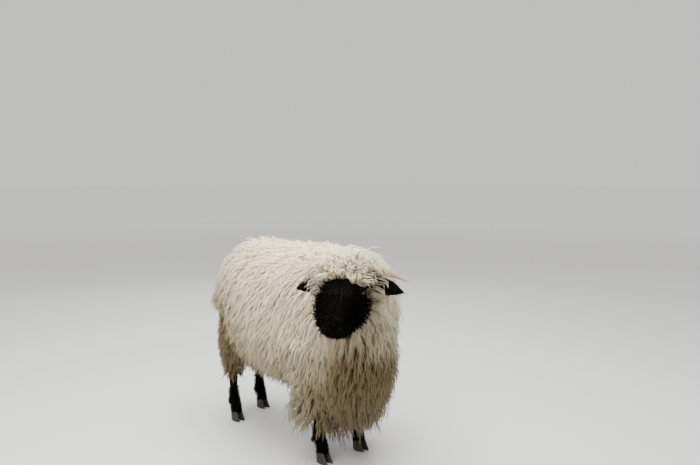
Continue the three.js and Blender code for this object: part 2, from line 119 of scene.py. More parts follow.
def catmull_rom(knots: Array, t: Array) -> Array:
    """Points of a centripetal Catmull-Rom curve.

    Args:
        knots: The points that the curve runs through, one a row.
        t: Places along it from 0 to 1, evenly shared out among the knots.

    Returns:
        One row for each t.
    """
    ends = np.vstack([2 * knots[0] - knots[1], knots, 2 * knots[-1] - knots[-2]])
    along = np.clip(t, 0.0, 1.0) * (len(knots) - 1)
    i = np.minimum(along.astype(int), len(knots) - 2)
    w = (along - i)[:, None]
    p0, p1, p2, p3 = (ends[i + k] for k in range(4))
    d0, d1, d2 = (
        np.sqrt(np.linalg.norm(b - a, axis=1, keepdims=True)) for a, b in ((p0, p1), (p1, p2), (p2, p3))
    )
    d1 = np.where(d1 < 1e-6, 1.0, d1)
    d0 = np.where(d0 < 1e-6, d1, d0)
    d2 = np.where(d2 < 1e-6, d1, d2)
    m1 = ((p1 - p0) / d0 - (p2 - p0) / (d0 + d1) + (p2 - p1) / d1) * d1
    m2 = ((p2 - p1) / d1 - (p3 - p1) / (d1 + d2) + (p3 - p2) / d2) * d1
    bend = -3 * p1 + 3 * p2 - 2 * m1 - m2
    return p1 + m1 * w + bend * w**2 + (2 * p1 - 2 * p2 + m1 + m2) * w**3


def put(name: str, data: ID) -> Object:
    """A new object with this data, linked into the scene."""
    made = bpy.data.objects.new(name, data)
    bpy.context.collection.objects.link(made)
    return made


def baked(rough: Object) -> Mesh:
    """The mesh that an object's modifiers make of it; the object is removed."""
    data = bpy.data.meshes.new_from_object(rough.evaluated_get(bpy.context.evaluated_depsgraph_get()))
    bpy.data.objects.remove(rough)
    return data


def read(items: bpy.types.bpy_prop_collection, name: str, each: int, kind: type = float) -> Array:
    """A property of all items, with as many values each as stated."""
    values = np.empty(len(items) * each, dtype=kind)
    items.foreach_get(name, values)
    return values.reshape(-1, each)


def wires(name: str, paths: Array) -> Object:
    """An object of bare edges along paths, given by path and point."""
    count, points = paths.shape[:2]
    edges = [(k, k + 1) for k in range(count * points - 1) if (k + 1) % points]
    data = bpy.data.meshes.new(name)
    data.from_pydata(paths.reshape(-1, 3).tolist(), edges, [])
    return put(name, data)


def turned(thing: Object, look: Vector) -> None:
    """Turns a lamp or camera so that it looks one way."""
    thing.rotation_mode = "QUATERNION"
    thing.rotation_quaternion = look.to_track_quat("-Z", "Y")


@dataclass
class Shell:
    """A triangle mesh as arrays."""

    verts: Array
    tris: Array

    def crosses(self) -> Array:
        """The cross product of two edges of each triangle, twice as long as its area."""
        corners = self.verts[self.tris]
        return np.cross(corners[:, 1] - corners[:, 0], corners[:, 2] - corners[:, 0])

    def normals(self, rounds: int = 0) -> Array:
        """Normals of the vertices, evened out with their neighbours.

        Args:
            rounds: How often each normal is averaged with those round it.

        Returns:
            One unit vector for each vertex.
        """
        faces = self.crosses()
        made = np.zeros_like(self.verts)
        for k in range(3):
            for axis in range(3):
                made[:, axis] += np.bincount(self.tris[:, k], faces[:, axis], len(self.verts))
        made = unit(made)
        for _ in range(rounds):
            made = unit(made + self.neighbour_mean(made))
        return made

    def neighbour_mean(self, values: Array) -> Array:
        """The mean of a value over the vertices that share an edge with each vertex."""
        total = np.zeros_like(values)
        count = np.zeros(len(self.verts))
        for a, b in ((0, 1), (1, 2), (2, 0)):
            for i, j in ((a, b), (b, a)):
                count += np.bincount(self.tris[:, i], minlength=len(self.verts))
                for axis in range(values.shape[1]):
                    given = values[self.tris[:, j], axis]
                    total[:, axis] += np.bincount(self.tris[:, i], given, len(self.verts))
        return total / np.maximum(count, 1)[:, None]

    def areas(self) -> Array:
        """Area of each triangle."""
        return np.linalg.norm(self.crosses(), axis=1) / 2


def joined(shells: list[Shell]) -> Shell:
    """Several shells as one, untouched."""
    starts = np.cumsum([0] + [len(s.verts) for s in shells[:-1]])
    tris = [s.tris + k for s, k in zip(shells, starts)]
    return Shell(np.vstack([s.verts for s in shells]), np.vstack(tris))


def skin_over(rings: Array, first: Array, last: Array) -> Shell:
    """A closed shell over rings of points with a pole at each end.

    Args:
        rings: Points by ring and place in the ring.
        first: The pole before the first ring.
        last: The pole after the last ring.

    Returns:
        The shell, its faces turned outwards.
    """
    count, around = rings.shape[:2]
    i = np.arange(around)
    j = (i + 1) % around
    tris = [np.stack([np.zeros_like(i), 1 + j, 1 + i], 1)]
    for r in range(count - 1):
        a = 1 + r * around
        b = a + around
        tris.append(np.stack([a + i, a + j, b + j], 1))
        tris.append(np.stack([a + i, b + j, b + i], 1))
    end = 1 + (count - 1) * around
    tris.append(np.stack([np.full_like(i, 1 + count * around), end + i, end + j], 1))
    return outwards(Shell(np.vstack([first, rings.reshape(-1, 3), last]), np.vstack(tris)))


def outwards(shell: Shell) -> Shell:
    """The same closed shell with its faces looking outwards."""
    a, b, c = (shell.verts[shell.tris[:, k]] for k in range(3))
    if np.einsum("ij,ij->i", a, np.cross(b, c)).sum() < 0:
        return Shell(shell.verts, shell.tris[:, ::-1])
    return shell


def ball(centre: Triple, radii: Triple, detail: int = 24) -> Shell:
    """A closed ellipsoid with these half sizes and so many faces round it."""
    turn = np.linspace(0, ROUND, detail, endpoint=False)
    tilt = np.linspace(0, math.pi, detail // 2 + 1)[1:-1]
    around, level = np.sin(tilt), np.ones(detail)
    ways = (np.outer(around, np.cos(turn)), np.outer(around, np.sin(turn)), np.outer(np.cos(tilt), level))
    rings = np.stack(ways, -1)
    middle, size = np.array(centre), np.array(radii)
    return skin_over(middle + rings * size, middle + size * (0, 0, 1), middle - size * (0, 0, 1))


class Region(Enum):
    """The parts of the body whose coats differ."""

    TORSO = "torso"
    NECK = "neck"
    BIB = "bib"
    TAIL = "tail"
    LEG_FRONT = "leg_front"
    LEG_HIND = "leg_hind"
    HEAD = "head"


@dataclass(frozen=True)
class Place:
    """A place along a part of the body: its middle, half sizes and the depth of wool there."""

    x: float
    y: float
    z: float
    wide: float
    high: float
    coat: float


@dataclass(frozen=True)
class Tube:
    """A rounded tube through places of the body."""

    region: Region
    places: tuple[Place, ...]
    up: Triple = (0.0, 0.0, 1.0)
    square: float = 2.3
    side: int = 0

    def path(self, t: Array) -> Array:
        """Points on the tube's middle line at shares of its length."""
        return catmull_rom(np.array([(p.x, p.y, p.z) for p in self.places]), t)

    def sizes(self, t: Array) -> Array:
        """Half width, half height and depth of coat at shares of the tube's length."""
        return catmull_rom(np.array([(p.wide, p.high, p.coat) for p in self.places]), t)

    def surface(self, t: Array, angle: Array) -> Array:
        """Points of the tube's surface at shares of its length and angles round it."""
        step = 1e-3
        ahead = unit(self.path(np.minimum(t + step, 1)) - self.path(np.maximum(t - step, 0)))
        across = unit(np.cross(ahead, np.array(self.up)))
        over = np.cross(across, ahead)
        size = self.sizes(t)
        power = 2 / self.square
        x, z = (np.sign(k) * np.abs(k) ** power for k in (np.cos(angle), np.sin(angle)))
        return self.path(t) + across * (size[:, :1] * x[:, None]) + over * (size[:, 1:2] * z[:, None])

    def shell(self, rings: int, sides: int, start: float = 0.0, end: float = 1.0) -> Shell:
        """The tube between two shares of its length as a closed shell."""
        turn = np.linspace(0, ROUND, sides, endpoint=False)
        t, angle = np.meshgrid(np.linspace(start, end, rings + 1), turn, indexing="ij")
        points = self.surface(t.ravel(), angle.ravel()).reshape(rings + 1, sides, 3)
        poles = self.path(np.array([start, end]))
        return skin_over(points, poles[:1], poles[1:])


@dataclass(frozen=True)
class Animal:
    """Driving sizes of the ewe under its fleece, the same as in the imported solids."""

    withers: float = 0.750
    rump: float = 0.750
    brisket: float = 0.318
    barrel: float = 0.160
    front: float = -0.415
    end: float = 0.424
    leg_out: float = 0.095
    leg_front_y: float = -0.235
    hind_out: float = 0.092
    leg_hind_y: float = 0.388
    hind_stagger: float = 0.034
    coat: float = 0.078
    pastern_reach: float = 0.022
    claw_height: float = 0.040
    claw_apart: float = 0.0136
    claw_toe: float = 0.045  # from the middle of a foot to the tips of its claws

    def torso(self) -> Tube:
        """The barrel from the chest to the thighs."""
        middle = (self.withers + self.brisket) / 2
        deep = (self.withers - self.brisket) / 2
        wide = self.barrel
        coat = self.coat
        return Tube(Region.TORSO, (
            Place(0, self.front, middle - 0.020, wide * 0.45, deep * 0.5, coat * 0.6),
            Place(0, self.front + 0.085, middle - 0.008, wide * 0.82, deep * 0.88, coat),
            Place(0, self.leg_front_y + 0.010, middle, wide * 0.94, deep, coat),
            Place(0, -0.060, middle - 0.004, wide, deep * 0.98, coat),
            Place(0, 0.120, middle, wide * 1.02, deep * 0.97, coat),
            Place(0, self.leg_hind_y - 0.085, self.rump - deep * 0.93, wide * 0.97, deep * 0.93, coat),
            Place(0, self.end - 0.065, self.rump - deep * 0.9, wide * 0.78, deep * 0.76, coat),
            Place(0, self.end, self.rump - deep * 0.9, wide * 0.4, deep * 0.42, coat * 0.6),
        ))

    def neck(self, head: "HeadFrame") -> Tube:
        """The neck, from between the shoulders up to the poll."""
        x, y, z = head.poll
        coat = self.coat
        return Tube(Region.NECK, (
            Place(0, self.leg_front_y - 0.020, self.withers - 0.140, 0.088, 0.130, coat),
            Place(-0.028, -0.350, 0.632, 0.078, 0.116, coat),
            Place(-0.100, -0.440, 0.682, 0.066, 0.092, coat * 0.95),
            Place(x + 0.010, y + 0.010, z - 0.020, 0.056, 0.068, coat * 0.75),
        ))

    def bib(self) -> Tube:
        """The front of the chest, from the throat to between the legs."""
        coat = self.coat
        return Tube(Region.BIB, (
            Place(-0.156, -0.500, 0.625, 0.044, 0.038, coat * 0.7),
            Place(-0.120, -0.480, 0.545, 0.058, 0.052, coat * 0.85),
            Place(-0.074, -0.440, 0.445, 0.074, 0.066, coat * 0.9),
            Place(-0.034, -0.385, 0.340, 0.082, 0.066, coat * 0.85),
            Place(-0.008, -0.335, 0.250, 0.062, 0.048, coat * 0.7),
            Place(0, -0.310, 0.205, 0.040, 0.030, coat * 0.4),
        ), up=(0.0, 1.0, 0.0))

    def front_leg(self, side: int) -> Tube:
        """A front leg down to its claws."""
        x, y, coat = side * self.leg_out, self.leg_front_y, self.coat
        return Tube(Region.LEG_FRONT, (
            Place(x, y + 0.005, 0.470, 0.066, 0.090, coat * 0.4),
            Place(x, y, 0.375, 0.058, 0.070, coat * 0.8),
            Place(x, y - 0.005, 0.300, 0.044, 0.050, coat),
            Place(x, y, 0.235, 0.030, 0.036, coat * 0.95),
            Place(x, y, 0.180, 0.022, 0.026, coat * 0.7),
            Place(x, y, 0.140, 0.018, 0.021, coat * 0.25),
            Place(x, y - 0.002, 0.090, 0.021, 0.025, 0.002),
            Place(x, y - 0.018, 0.060, 0.020, 0.022, 0.001),
            Place(x, y - self.pastern_reach, self.claw_height - 0.008, 0.023, 0.022, 0),
        ), up=(0.0, 1.0, 0.0), square=2.0, side=side)

    def hind_leg(self, side: int) -> Tube:
        """A hind leg down to its claws, the left one a little further back."""
        x, y, coat = side * self.hind_out, self.leg_hind_y + side * self.hind_stagger, self.coat
        hip = self.leg_hind_y - 0.098
        return Tube(Region.LEG_HIND, (
            Place(x + side * 0.012, hip, 0.540, 0.058, 0.105, coat * 0.3),
            Place(x + side * 0.012, hip + 0.008, 0.430, 0.062, 0.096, coat * 0.5),
            Place(x + side * 0.006, (hip + y) / 2 + 0.020, 0.345, 0.046, 0.062, coat * 0.65),
            Place(x, y + 0.022, 0.270, 0.027, 0.038, coat * 0.65),
            Place(x, y + 0.024, 0.190, 0.019, 0.023, coat * 0.4),
            Place(x, y + 0.020, 0.120, 0.018, 0.021, coat * 0.1),
            Place(x, y + 0.016, 0.088, 0.022, 0.026, 0.002),
            Place(x, y + 0.002, 0.060, 0.020, 0.022, 0.001),
            Place(x, y, self.claw_height - 0.008, 0.023, 0.022, 0),
        ), up=(0.0, 1.0, 0.0), square=2.0, side=side)

    def tail(self) -> Tube:
        """The tail, which hangs behind the thighs."""
        return Tube(Region.TAIL, (
            Place(0, self.end - 0.040, self.rump - 0.070, 0.020, 0.020, 0.008),
            Place(0, self.end + 0.050, self.rump - 0.085, 0.018, 0.016, 0.028),
            Place(0, self.end + 0.088, self.rump - 0.170, 0.016, 0.014, 0.040),
            Place(0, self.end + 0.095, self.rump - 0.280, 0.013, 0.012, 0.040),
            Place(0, self.end + 0.088, self.rump - 0.380, 0.008, 0.008, 0.026),
        ), up=(0.0, 1.0, 0.0), square=2.0)

    def foot(self, end: str, side: int) -> tuple[float, float]:
        """Middle of a foot on the ground."""
        if end == "front":
            return side * self.leg_out, self.leg_front_y - self.pastern_reach
        return side * self.hind_out, self.leg_hind_y + side * self.hind_stagger


@dataclass(frozen=True)
class HeadFrame:
    """The head's own frame: its origin where the skull meets the neck, the nose towards -Y."""

    poll: Triple = (-0.192, -0.520, 0.740)
    turn: float = math.radians(-55)
    nod: float = math.radians(22)

    def axes(self) -> Array:
        """The matrix that turns the head's directions into the body's."""
        c, s = math.cos(self.turn), math.sin(self.turn)
        d, n = math.cos(self.nod), math.sin(self.nod)
        return np.array([[c, -s, 0], [s, c, 0], [0, 0, 1]]) @ np.array([[1, 0, 0], [0, d, -n], [0, n, d]])

    def out(self, points: Array) -> Array:
        """Points of the head's frame in the body's frame."""
        return np.asarray(points) @ self.axes().T + np.array(self.poll)

    def into(self, points: Array) -> Array:
        """Points of the body's frame in the head's frame."""
        return (np.asarray(points) - np.array(self.poll)) @ self.axes()


@dataclass(frozen=True)
class Skull:
    """Sizes of the head under its wool, in its own frame."""

    length: float = 0.248
    eye_along: float = 0.092
    eye_out: float = 0.057
    eye_up: float = 0.020
    eye_radius: float = 0.015
    lid_thick: float = 0.0028
    axis_drop: float = 0.015  # how far the middle line of the head lies under the poll
    mouth_height: float = -0.035
    mouth_rise: float = 0.10
    mouth_thin: float = 0.0026
    mouth_deep: float = 0.0055
    cleft_thin: float = 0.0022
    cleft_deep: float = 0.0035
    # Nostrils, from the tip of the nose: their places, half sizes, those of their rims, depth and height
    nostril_at: Triple = (0.018, 0.002, -0.010)
    nostril_size: tuple[float, float] = (0.0085, 0.0034)
    rim_size: tuple[float, float] = (0.013, 0.0075)
    nostril_deep: float = 0.013
    rim_high: float = 0.0022
    # Opening between the lids, as shares of the eyeball's radius
    lids_wide: float = 0.80
    lids_high: float = 0.50
    lids_sink: float = 0.86

    def tube(self) -> Tube:
        """The skull and muzzle: half width, top and underside at shares of the length."""
        sections = (
            (-0.12, 0.048, 0.040, -0.050),
            (0.06, 0.064, 0.056, -0.078),
            (0.24, 0.070, 0.064, -0.094),
            (0.40, 0.070, 0.061, -0.092),
            (0.56, 0.062, 0.054, -0.084),
            (0.72, 0.054, 0.043, -0.075),
            (0.88, 0.050, 0.028, -0.067),
            (0.97, 0.043, 0.014, -0.060),
            (1.02, 0.028, 0.000, -0.048),
        )
        return Tube(
            Region.HEAD,
            tuple(Place(0, -s * self.length, (t + u) / 2, w, (t - u) / 2, 0) for s, w, t, u in sections),
            square=2.5,
        )

    def hood(self) -> Tube:
        """The skin under the topknot, cheeks and throat."""
        return Tube(Region.HEAD, (
            Place(0, 0.030, -0.008, 0.052, 0.052, 0.062),
            Place(0, -0.015, -0.004, 0.062, 0.064, 0.066),
            Place(0, -0.060, -0.006, 0.064, 0.068, 0.060),
            Place(0, -0.096, -0.008, 0.060, 0.062, 0.032),
        ))

    def eye(self, side: int) -> Array:
        """Middle of an eyeball."""
        return np.array((side * self.eye_out, -self.eye_along, self.eye_up))

    def nostril(self, side: int) -> Array:
        """Middle of a nostril."""
        x, y, z = self.nostril_at
        return np.array((side * x, -self.length + y, z))

    def eye_axes(self, side: int) -> tuple[Array, Array, Array]:
        """The ways an eye looks, towards its corner, and up."""
        forward = unit(np.array((side * 0.93, -0.34, 0.10)))
        corner = unit(np.cross(np.array((0, 0, 1.0)), forward))
        return forward, corner, np.cross(forward, corner)

    def rough(self) -> list[Shell]:
        """Closed forms that melt into the head."""
        nose = -self.length
        forms = [self.tube().shell(60, 64), self.hood().shell(20, 40)]
        forms.append(ball((0, nose + 0.030, -0.047), (0.025, 0.024, 0.016)))
        for side in SIDE_NAMES:
            forms.append(ball((side * 0.015, nose + 0.020, -0.024), (0.022, 0.022, 0.019)))
            lid = self.eye_radius + self.lid_thick
            forms.append(ball(tuple(self.eye(side)), (lid, lid, lid)))
        return forms

    def cut_mouth(self, points: Array, ahead: Array) -> Array:
        """How deep the line of the mouth and the cleft of the upper lip lie at each point."""
        height = self.mouth_height + self.mouth_rise * np.clip(-ahead - 0.02, 0, 0.06)
        line = np.exp(-(((points[:, 2] - height) / self.mouth_thin) ** 2))
        cleft = np.exp(-((points[:, 0] / self.cleft_thin) ** 2)) * eased(-0.034, -0.028, points[:, 2])
        deep = self.cleft_deep * cleft * eased(-0.030, -0.012, ahead)
        deep = deep * (1 - eased(-0.012, -0.004, points[:, 2]))
        return self.mouth_deep * line * eased(-0.085, -0.065, ahead) + deep

    def cut_nostril(self, points: Array, side: int) -> Array:
        """How deep a slanting nostril lies, below zero on its raised rim."""
        off = points - self.nostril(side)
        along = off @ np.array((side * 0.80, 0.0, 0.60))
        level = off @ np.array((-side * 0.60, 0.0, 0.80))
        hole, rim = (
            np.exp(-((along / long) ** 2) - ((level / wide) ** 2)) * (off[:, 1] < 0.03)
            for long, wide in (self.nostril_size, self.rim_size)
        )
        return self.nostril_deep * hole - self.rim_high * (rim - hole)

    def sculpt(self, points: Array, normals: Array) -> Array:
        """Cuts nostrils, the line of the mouth and the opening of the lids into the melted head.

        Args:
            points: Vertices of the head in its own frame.
            normals: Their outward normals.

        Returns:
            The moved vertices.
        """
        inward = self.cut_mouth(points, -self.length - points[:, 1])
        for side in SIDE_NAMES:
            inward += self.cut_nostril(points, side)
        moved = points - normals * inward[:, None]
        for side in SIDE_NAMES:
            moved = self.open_lids(moved, side)
        return moved

    def open_lids(self, points: Array, side: int) -> Array:
        """Sinks the almond between the lids under the eyeball's surface."""
        off = points - self.eye(side)
        reach = np.linalg.norm(off, axis=1)
        look = unit(off)
        forward, corner, height = self.eye_axes(side)
        front = look @ forward
        level, rise = look @ corner, look @ height
        narrowing = np.sqrt(np.maximum(1 - (level / 0.85) ** 2, 0.05))
        almond = (level / self.lids_wide) ** 2 + (rise / (self.lids_high * narrowing)) ** 2
        opened = (1 - eased(0.75, 1.05, almond)) * (front > 0.2) * (reach < self.eye_radius * 1.9)
        target = self.eye_radius * self.lids_sink
        return points - look * (np.maximum(reach - target, 0) * opened)[:, None]


@dataclass(frozen=True)
class EarForm:
    """A cupped ear: rolled at its root and open like a leaf towards its tip."""

    length: float = 0.138
    width: float = 0.062
    wall: float = 0.0045
    root: Triple = (0.054, -0.012, 0.020)
    points: Triple = (0.95, -0.075, -0.30)
    faces: Triple = (0.35, -0.85, 0.40)
    shows: float = 0.70  # share of the length that the wool covers
    root_roll: float = 2.3  # half the angle that the ear's sheet is rolled through at its root
    tip_roll: float = 0.62
    crimp: float = 0.006
    bar_reach: float = 0.08  # how far in front of the ear no wool hangs
    steps: int = 30
    across: int = 20

    def axes(self, side: int) -> Array:
        """The ear's own axes in the head's frame: along, across and open side, as rows."""
        mirror = np.array((side, 1, 1))
        pointing = unit(np.array(self.points) * mirror)
        across = unit(np.cross(np.array(self.faces) * mirror, pointing))
        return np.stack([pointing, across, np.cross(pointing, across)])

    def sheet(self, face: int) -> Array:
        """One face of the ear in its own frame, by step along and step across."""
        along, over = np.linspace(0, 1, self.steps + 1), np.linspace(-1, 1, self.across + 1)
        u, v = np.meshgrid(along, over, indexing="ij")
        leaf = 0.46 + 0.54 * np.sin(math.pi * u**0.8) ** 0.8
        width = self.width * leaf * (1 - u**6 * 0.8)
        roll = self.root_roll + (self.tip_roll - self.root_roll) * np.minimum(1, u * 1.7)
        radius = width / 2 / roll
        thick = self.wall / 2 * (1 - 0.7 * v * v) * (1 - 0.5 * u)
        reach = radius + face * thick
        curl = self.crimp * np.sin(u * 5.0) * v * v
        sideways, upwards = -reach * np.sin(roll * v), radius - reach * np.cos(roll * v) + curl
        return np.stack([u * self.length, sideways, upwards], -1)

    def bars(self, side: int) -> Array:
        """Points of the ear's outer part and in front of its hollow, in the head's frame."""
        outer = self.sheet(1)[int(self.steps * self.shows) :, ::2].reshape(-1, 3) @ self.axes(side)
        ahead = [outer - (0, reach, 0) for reach in np.arange(0.0, self.bar_reach, 0.010)]
        return np.vstack(ahead) + np.array(self.root) * (side, 1, 1)

    def shell(self, side: int) -> Shell:
        """The ear as a closed shell in the head's frame."""
        rows, columns = self.steps + 1, self.across + 1
        grid = np.arange(rows * columns).reshape(rows, columns)
        a, b, c, d = (g.ravel() for g in (grid[:-1, :-1], grid[1:, :-1], grid[1:, 1:], grid[:-1, 1:]))
        under = rows * columns
        tris = [np.stack(k, 1) for k in ((a, b, c), (a, c, d))]
        tris += [np.stack(k, 1) + under for k in ((a, c, b), (a, d, c))]
        edge = np.concatenate([grid[:-1, 0], grid[-1, :-1], grid[:0:-1, -1], grid[0, :0:-1]])
        after = np.roll(edge, -1)
        rim = ((after, edge, edge + under), (after, edge + under, after + under))
        tris += [np.stack(k, 1) for k in rim]
        points = np.vstack([self.sheet(1).reshape(-1, 3), self.sheet(-1).reshape(-1, 3)])
        placed = points @ self.axes(side) + np.array(self.root) * (side, 1, 1)
        return outwards(Shell(placed, np.vstack(tris)))


@dataclass(frozen=True)
class Markings:
    """The black and white of the breed, for skin and coat alike."""

    head: HeadFrame
    mask_top: float = 0.084  # where the black starts on the forehead, from the poll towards the nose
    mask_side: float = 0.058
    mask_under: float = 0.112
    forelock: float = 0.020  # how much further the white reaches above the left eye
    ragged_mask: float = 0.004
    boot_front: float = 0.168
    boot_hind: float = 0.205
    ragged_boots: float = 0.012
    patch_at: Triple = (0.066, -0.056, 0.026)  # middle of the patch behind the left eye
    patch_radius: float = 0.022
    head_reach: float = 0.32  # further than this from the poll nothing is part of the face

    def mask(self, points: Array) -> Array:
        """How far in front of the edge of the black face each point lies, in metres."""
        h = self.head.into(points)
        round_face = np.arctan2(np.abs(h[:, 0]), h[:, 2] + Skull.axis_drop)
        top = eased(0.35, 1.25, round_face)
        under = eased(1.9, 2.9, round_face)
        edge = self.mask_top + (self.mask_side - self.mask_top) * top
        edge = edge + (self.mask_under - self.mask_side) * under
        edge = edge + self.forelock * eased(0.012, 0.045, h[:, 0]) * (1 - eased(0.9, 1.5, round_face))
        return -h[:, 1] - edge - self.ragged_mask * ripple(points, 0.05)

    def eye_patch(self, points: Array) -> Array:
        """Inside the dark patch behind the left eye: above zero."""
        return self.patch_radius - away(self.head.into(points), self.patch_at)

    def black(self, points: Array) -> Array:
        """True where the coat is black, for places on the skin in the body's frame."""
        near_head = away(points, self.head.poll) < self.head_reach
        face = near_head & ((self.mask(points) > 0) | (self.eye_patch(points) > 0))
        ragged = self.ragged_boots * ripple(points, 0.06, 2.0)
        behind = points[:, 1] > 0
        boots = points[:, 2] < np.where(behind, self.boot_hind, self.boot_front) + ragged
        return face | boots


@dataclass(frozen=True)
class Wool:
    """Colours of the coat, as linear light, and where it is dirty and where shade is painted on it."""

    head: HeadFrame
    tip: Triple = (0.91, 0.79, 0.545)
    root: Triple = (0.78, 0.64, 0.41)
    # Colour of dirty wool, also the colour of the painted shade on the lower body, rump and chest
    dusty_shaded: Triple = (0.205, 0.148, 0.062)
    black: Triple = (0.0013, 0.0012, 0.0011)
    black_tip: Triple = (0.0030, 0.0026, 0.0022)
    # Strength of the dirt and painted shade low down, behind, on the chest and on the flank, of the cream
    # tint on the crown, and of the dirt everywhere
    soil_and_shade: tuple[float, ...] = (0.74, 0.78, 0.76, 0.08, 0.09, 0.02)
    shaded_root_share: float = 0.3  # how light a dirty hair is at its root, as a share of its tip: painted shade between the tufts

    def dust_and_painted_shade(self, points: Array) -> Array:
        """How dirty the wool is and how much shade is painted on it: most on the lower chest, the belly and
        the thighs.
        """
        y, z = points[:, 1], points[:, 2]
        # Painted shade and dirt together: darker low down, on the rump and thighs, on the lower chest and on
        # the lower flank
        low = 1 - eased(0.18, 0.62, z)
        rear = eased(0.04, 0.34, y) * (1 - eased(0.46, 0.90, z))
        chest = (1 - eased(-0.50, -0.26, y)) * (1 - eased(0.28, 0.80, z))
        flank = 1 - eased(0.56, 0.80, z)
        crown = 1 - eased(0.10, 0.19, away(points, self.head.poll))
        spots = 0.09 * ripple(points, 0.16) + 0.06 * ripple(points, 0.05)
        on_low, on_rear, on_chest, on_flank, on_crown, everywhere = self.soil_and_shade
        dirt_and_shade = on_low * low + on_rear * rear + on_chest * chest + on_flank * flank + on_crown * crown
        return np.clip(everywhere + dirt_and_shade + spots, 0, 1)

    def tint(self, points: Array, black: Array, share: Array, tone: Array) -> Array:
        """Colours for points of the coat.

        Args:
            points: Places, one a row.
            black: 1 where the hair is black.
            share: How far along its hair each point is, 0 at the root.
            tone: Lightness of each hair, about 1.

        Returns:
            Linear colours, one a row.
        """
        climb = (share**0.8)[:, None]
        white = np.array(self.root) * (1 - climb) + np.array(self.tip) * climb
        # Dirt and painted shade pull the wool towards the darker colour
        dirt_and_shade = self.dust_and_painted_shade(points)[:, None]
        # Painted shade: dirty hairs are darker at their roots, between the tufts
        dim = self.shaded_root_share + (1 - self.shaded_root_share) * climb**1.5
        white = white * (1 - dirt_and_shade) + np.array(self.dusty_shaded) * dim * dirt_and_shade
        dark = np.array(self.black) * (1 - climb) + np.array(self.black_tip) * climb
        mixed = np.where(black[:, None] > 0.5, dark, white) * tone[:, None]
        return np.clip(mixed, 0, 1)


class Shade:
    """A material under construction, with short ways to add and join nodes."""

    def __init__(self, name: str) -> None:
        """Starts a material with an empty tree."""
        self.material = bpy.data.materials.new(name)
        self.material.use_nodes = True
        self.tree = self.material.node_tree
        self.tree.nodes.clear()
        self.surface = self.add("ShaderNodeBsdfPrincipled")
        output = self.add("ShaderNodeOutputMaterial")
        self.join(self.surface.outputs["BSDF"], output.inputs["Surface"])

    def add(self, kind: str, **settings: object) -> Node:
        """Adds a node and sets its properties and the values of its inputs.

        Args:
            kind: Blender's name for the type of node.
            settings: Properties by name, or values of inputs by name with _ for spaces.

        Returns:
            The node.
        """
        node = self.tree.nodes.new(kind)
        for name, value in settings.items():
            if hasattr(node, name):
                setattr(node, name, value)
            else:
                node.inputs[name.replace("_", " ")].default_value = value
        return node

    def join(self, output: NodeSocket, target: NodeSocket) -> None:
        """Links an output to an input."""
        self.tree.links.new(output, target)

    def spotted(self, scale: float, detail: float, where: str = "Object") -> NodeSocket:
        """Noise from 0 to 1 over "Object" or a UV map: spots a metre, and octaves."""
        noise = self.add("ShaderNodeTexNoise", Scale=scale, Detail=detail)
        if where == "Object":
            self.join(self.add("ShaderNodeTexCoord").outputs["Object"], noise.inputs["Vector"])
        else:
            self.join(self.add("ShaderNodeUVMap", uv_map=where).outputs["UV"], noise.inputs["Vector"])
        return noise.outputs["Fac"]

    def mottled(self, scale: float, detail: float, low: float, high: float) -> NodeSocket:
        """Noise over the object from low to high."""
        node = self.add("ShaderNodeMapRange", To_Min=low, To_Max=high)
        self.join(self.spotted(scale, detail), node.inputs["Value"])
        return node.outputs["Result"]

    def rough(self, scale: float, detail: float, low: float, high: float) -> None:
        """Gives the surface a mottled roughness."""
        self.join(self.mottled(scale, detail, low, high), self.surface.inputs["Roughness"])

    def painted(self) -> NodeSocket:
        """The colour painted on the piece."""
        return self.add("ShaderNodeAttribute", attribute_name="Coat").outputs["Color"]

    def ramp(self, value: NodeSocket, first: Triple, last: Triple) -> Node:
        """A scale of colours that a value runs along."""
        node = self.add("ShaderNodeValToRGB")
        stops = node.color_ramp.elements
        stops[0].color, stops[1].color = (*first, 1), (*last, 1)
        self.join(value, node.inputs["Fac"])
        return node

    def colour(self, colour: NodeSocket, factor: NodeSocket | None = None) -> None:
        """Gives the surface a colour, times a factor."""
        if factor is not None:
            tinted = self.add("ShaderNodeVectorMath", operation="SCALE")
            self.join(colour, tinted.inputs[0])
            self.join(factor, tinted.inputs["Scale"])
            colour = tinted.outputs["Vector"]
        self.join(colour, self.surface.inputs["Base Color"])

    def bump(self, height: NodeSocket, distance: float, strength: float) -> None:
        """Raises the surface by a height."""
        node = self.add("ShaderNodeBump", Distance=distance, Strength=strength)
        self.join(height, node.inputs["Height"])
        self.join(node.outputs["Normal"], self.surface.inputs["Normal"])

    def settings(self, **values: object) -> None:
        """Sets inputs of the surface by name, with _ for spaces."""
        for name, value in values.items():
            self.surface.inputs[name.replace("_", " ")].default_value = value


@dataclass(frozen=True)
class HairFinish:
    """Wool or hair whose colour is painted on its tufts."""

    name: str
    roughness: float
    sheen: float
    specular: float
    mottle: float
    fibres: float = 260.0

    def build(self) -> Material:
        """The material: painted colour, mottled, with fine fibres along each tuft."""
        shade = Shade(self.name)
        mottle = shade.mottled(scale=170.0, detail=3.0, low=1 - self.mottle, high=1 + self.mottle)
        shade.colour(shade.painted(), mottle)
        fibres = shade.spotted(scale=self.fibres, detail=2.0, where="Strand")
        shade.bump(fibres, distance=0.0012, strength=0.7)
        shade.settings(Roughness=self.roughness, Specular_IOR_Level=self.specular)
        shade.settings(Sheen_Weight=self.sheen, Sheen_Roughness=0.5)
        return shade.material


@dataclass(frozen=True)
class SkinFinish:
    """Bare skin and the short pile on it, painted like the coat."""

    name: str = "skin"

    def build(self) -> Material:
        """The material: painted colour with pores and fine creases."""
        shade = Shade(self.name)
        shade.colour(shade.painted(), shade.mottled(scale=120.0, detail=4.0, low=0.7, high=1.3))
        shade.rough(scale=90.0, detail=3.0, low=0.45, high=0.75)
        shade.bump(shade.spotted(scale=700.0, detail=4.0), distance=0.0012, strength=0.8)
        shade.settings(Specular_IOR_Level=0.05)
        return shade.material


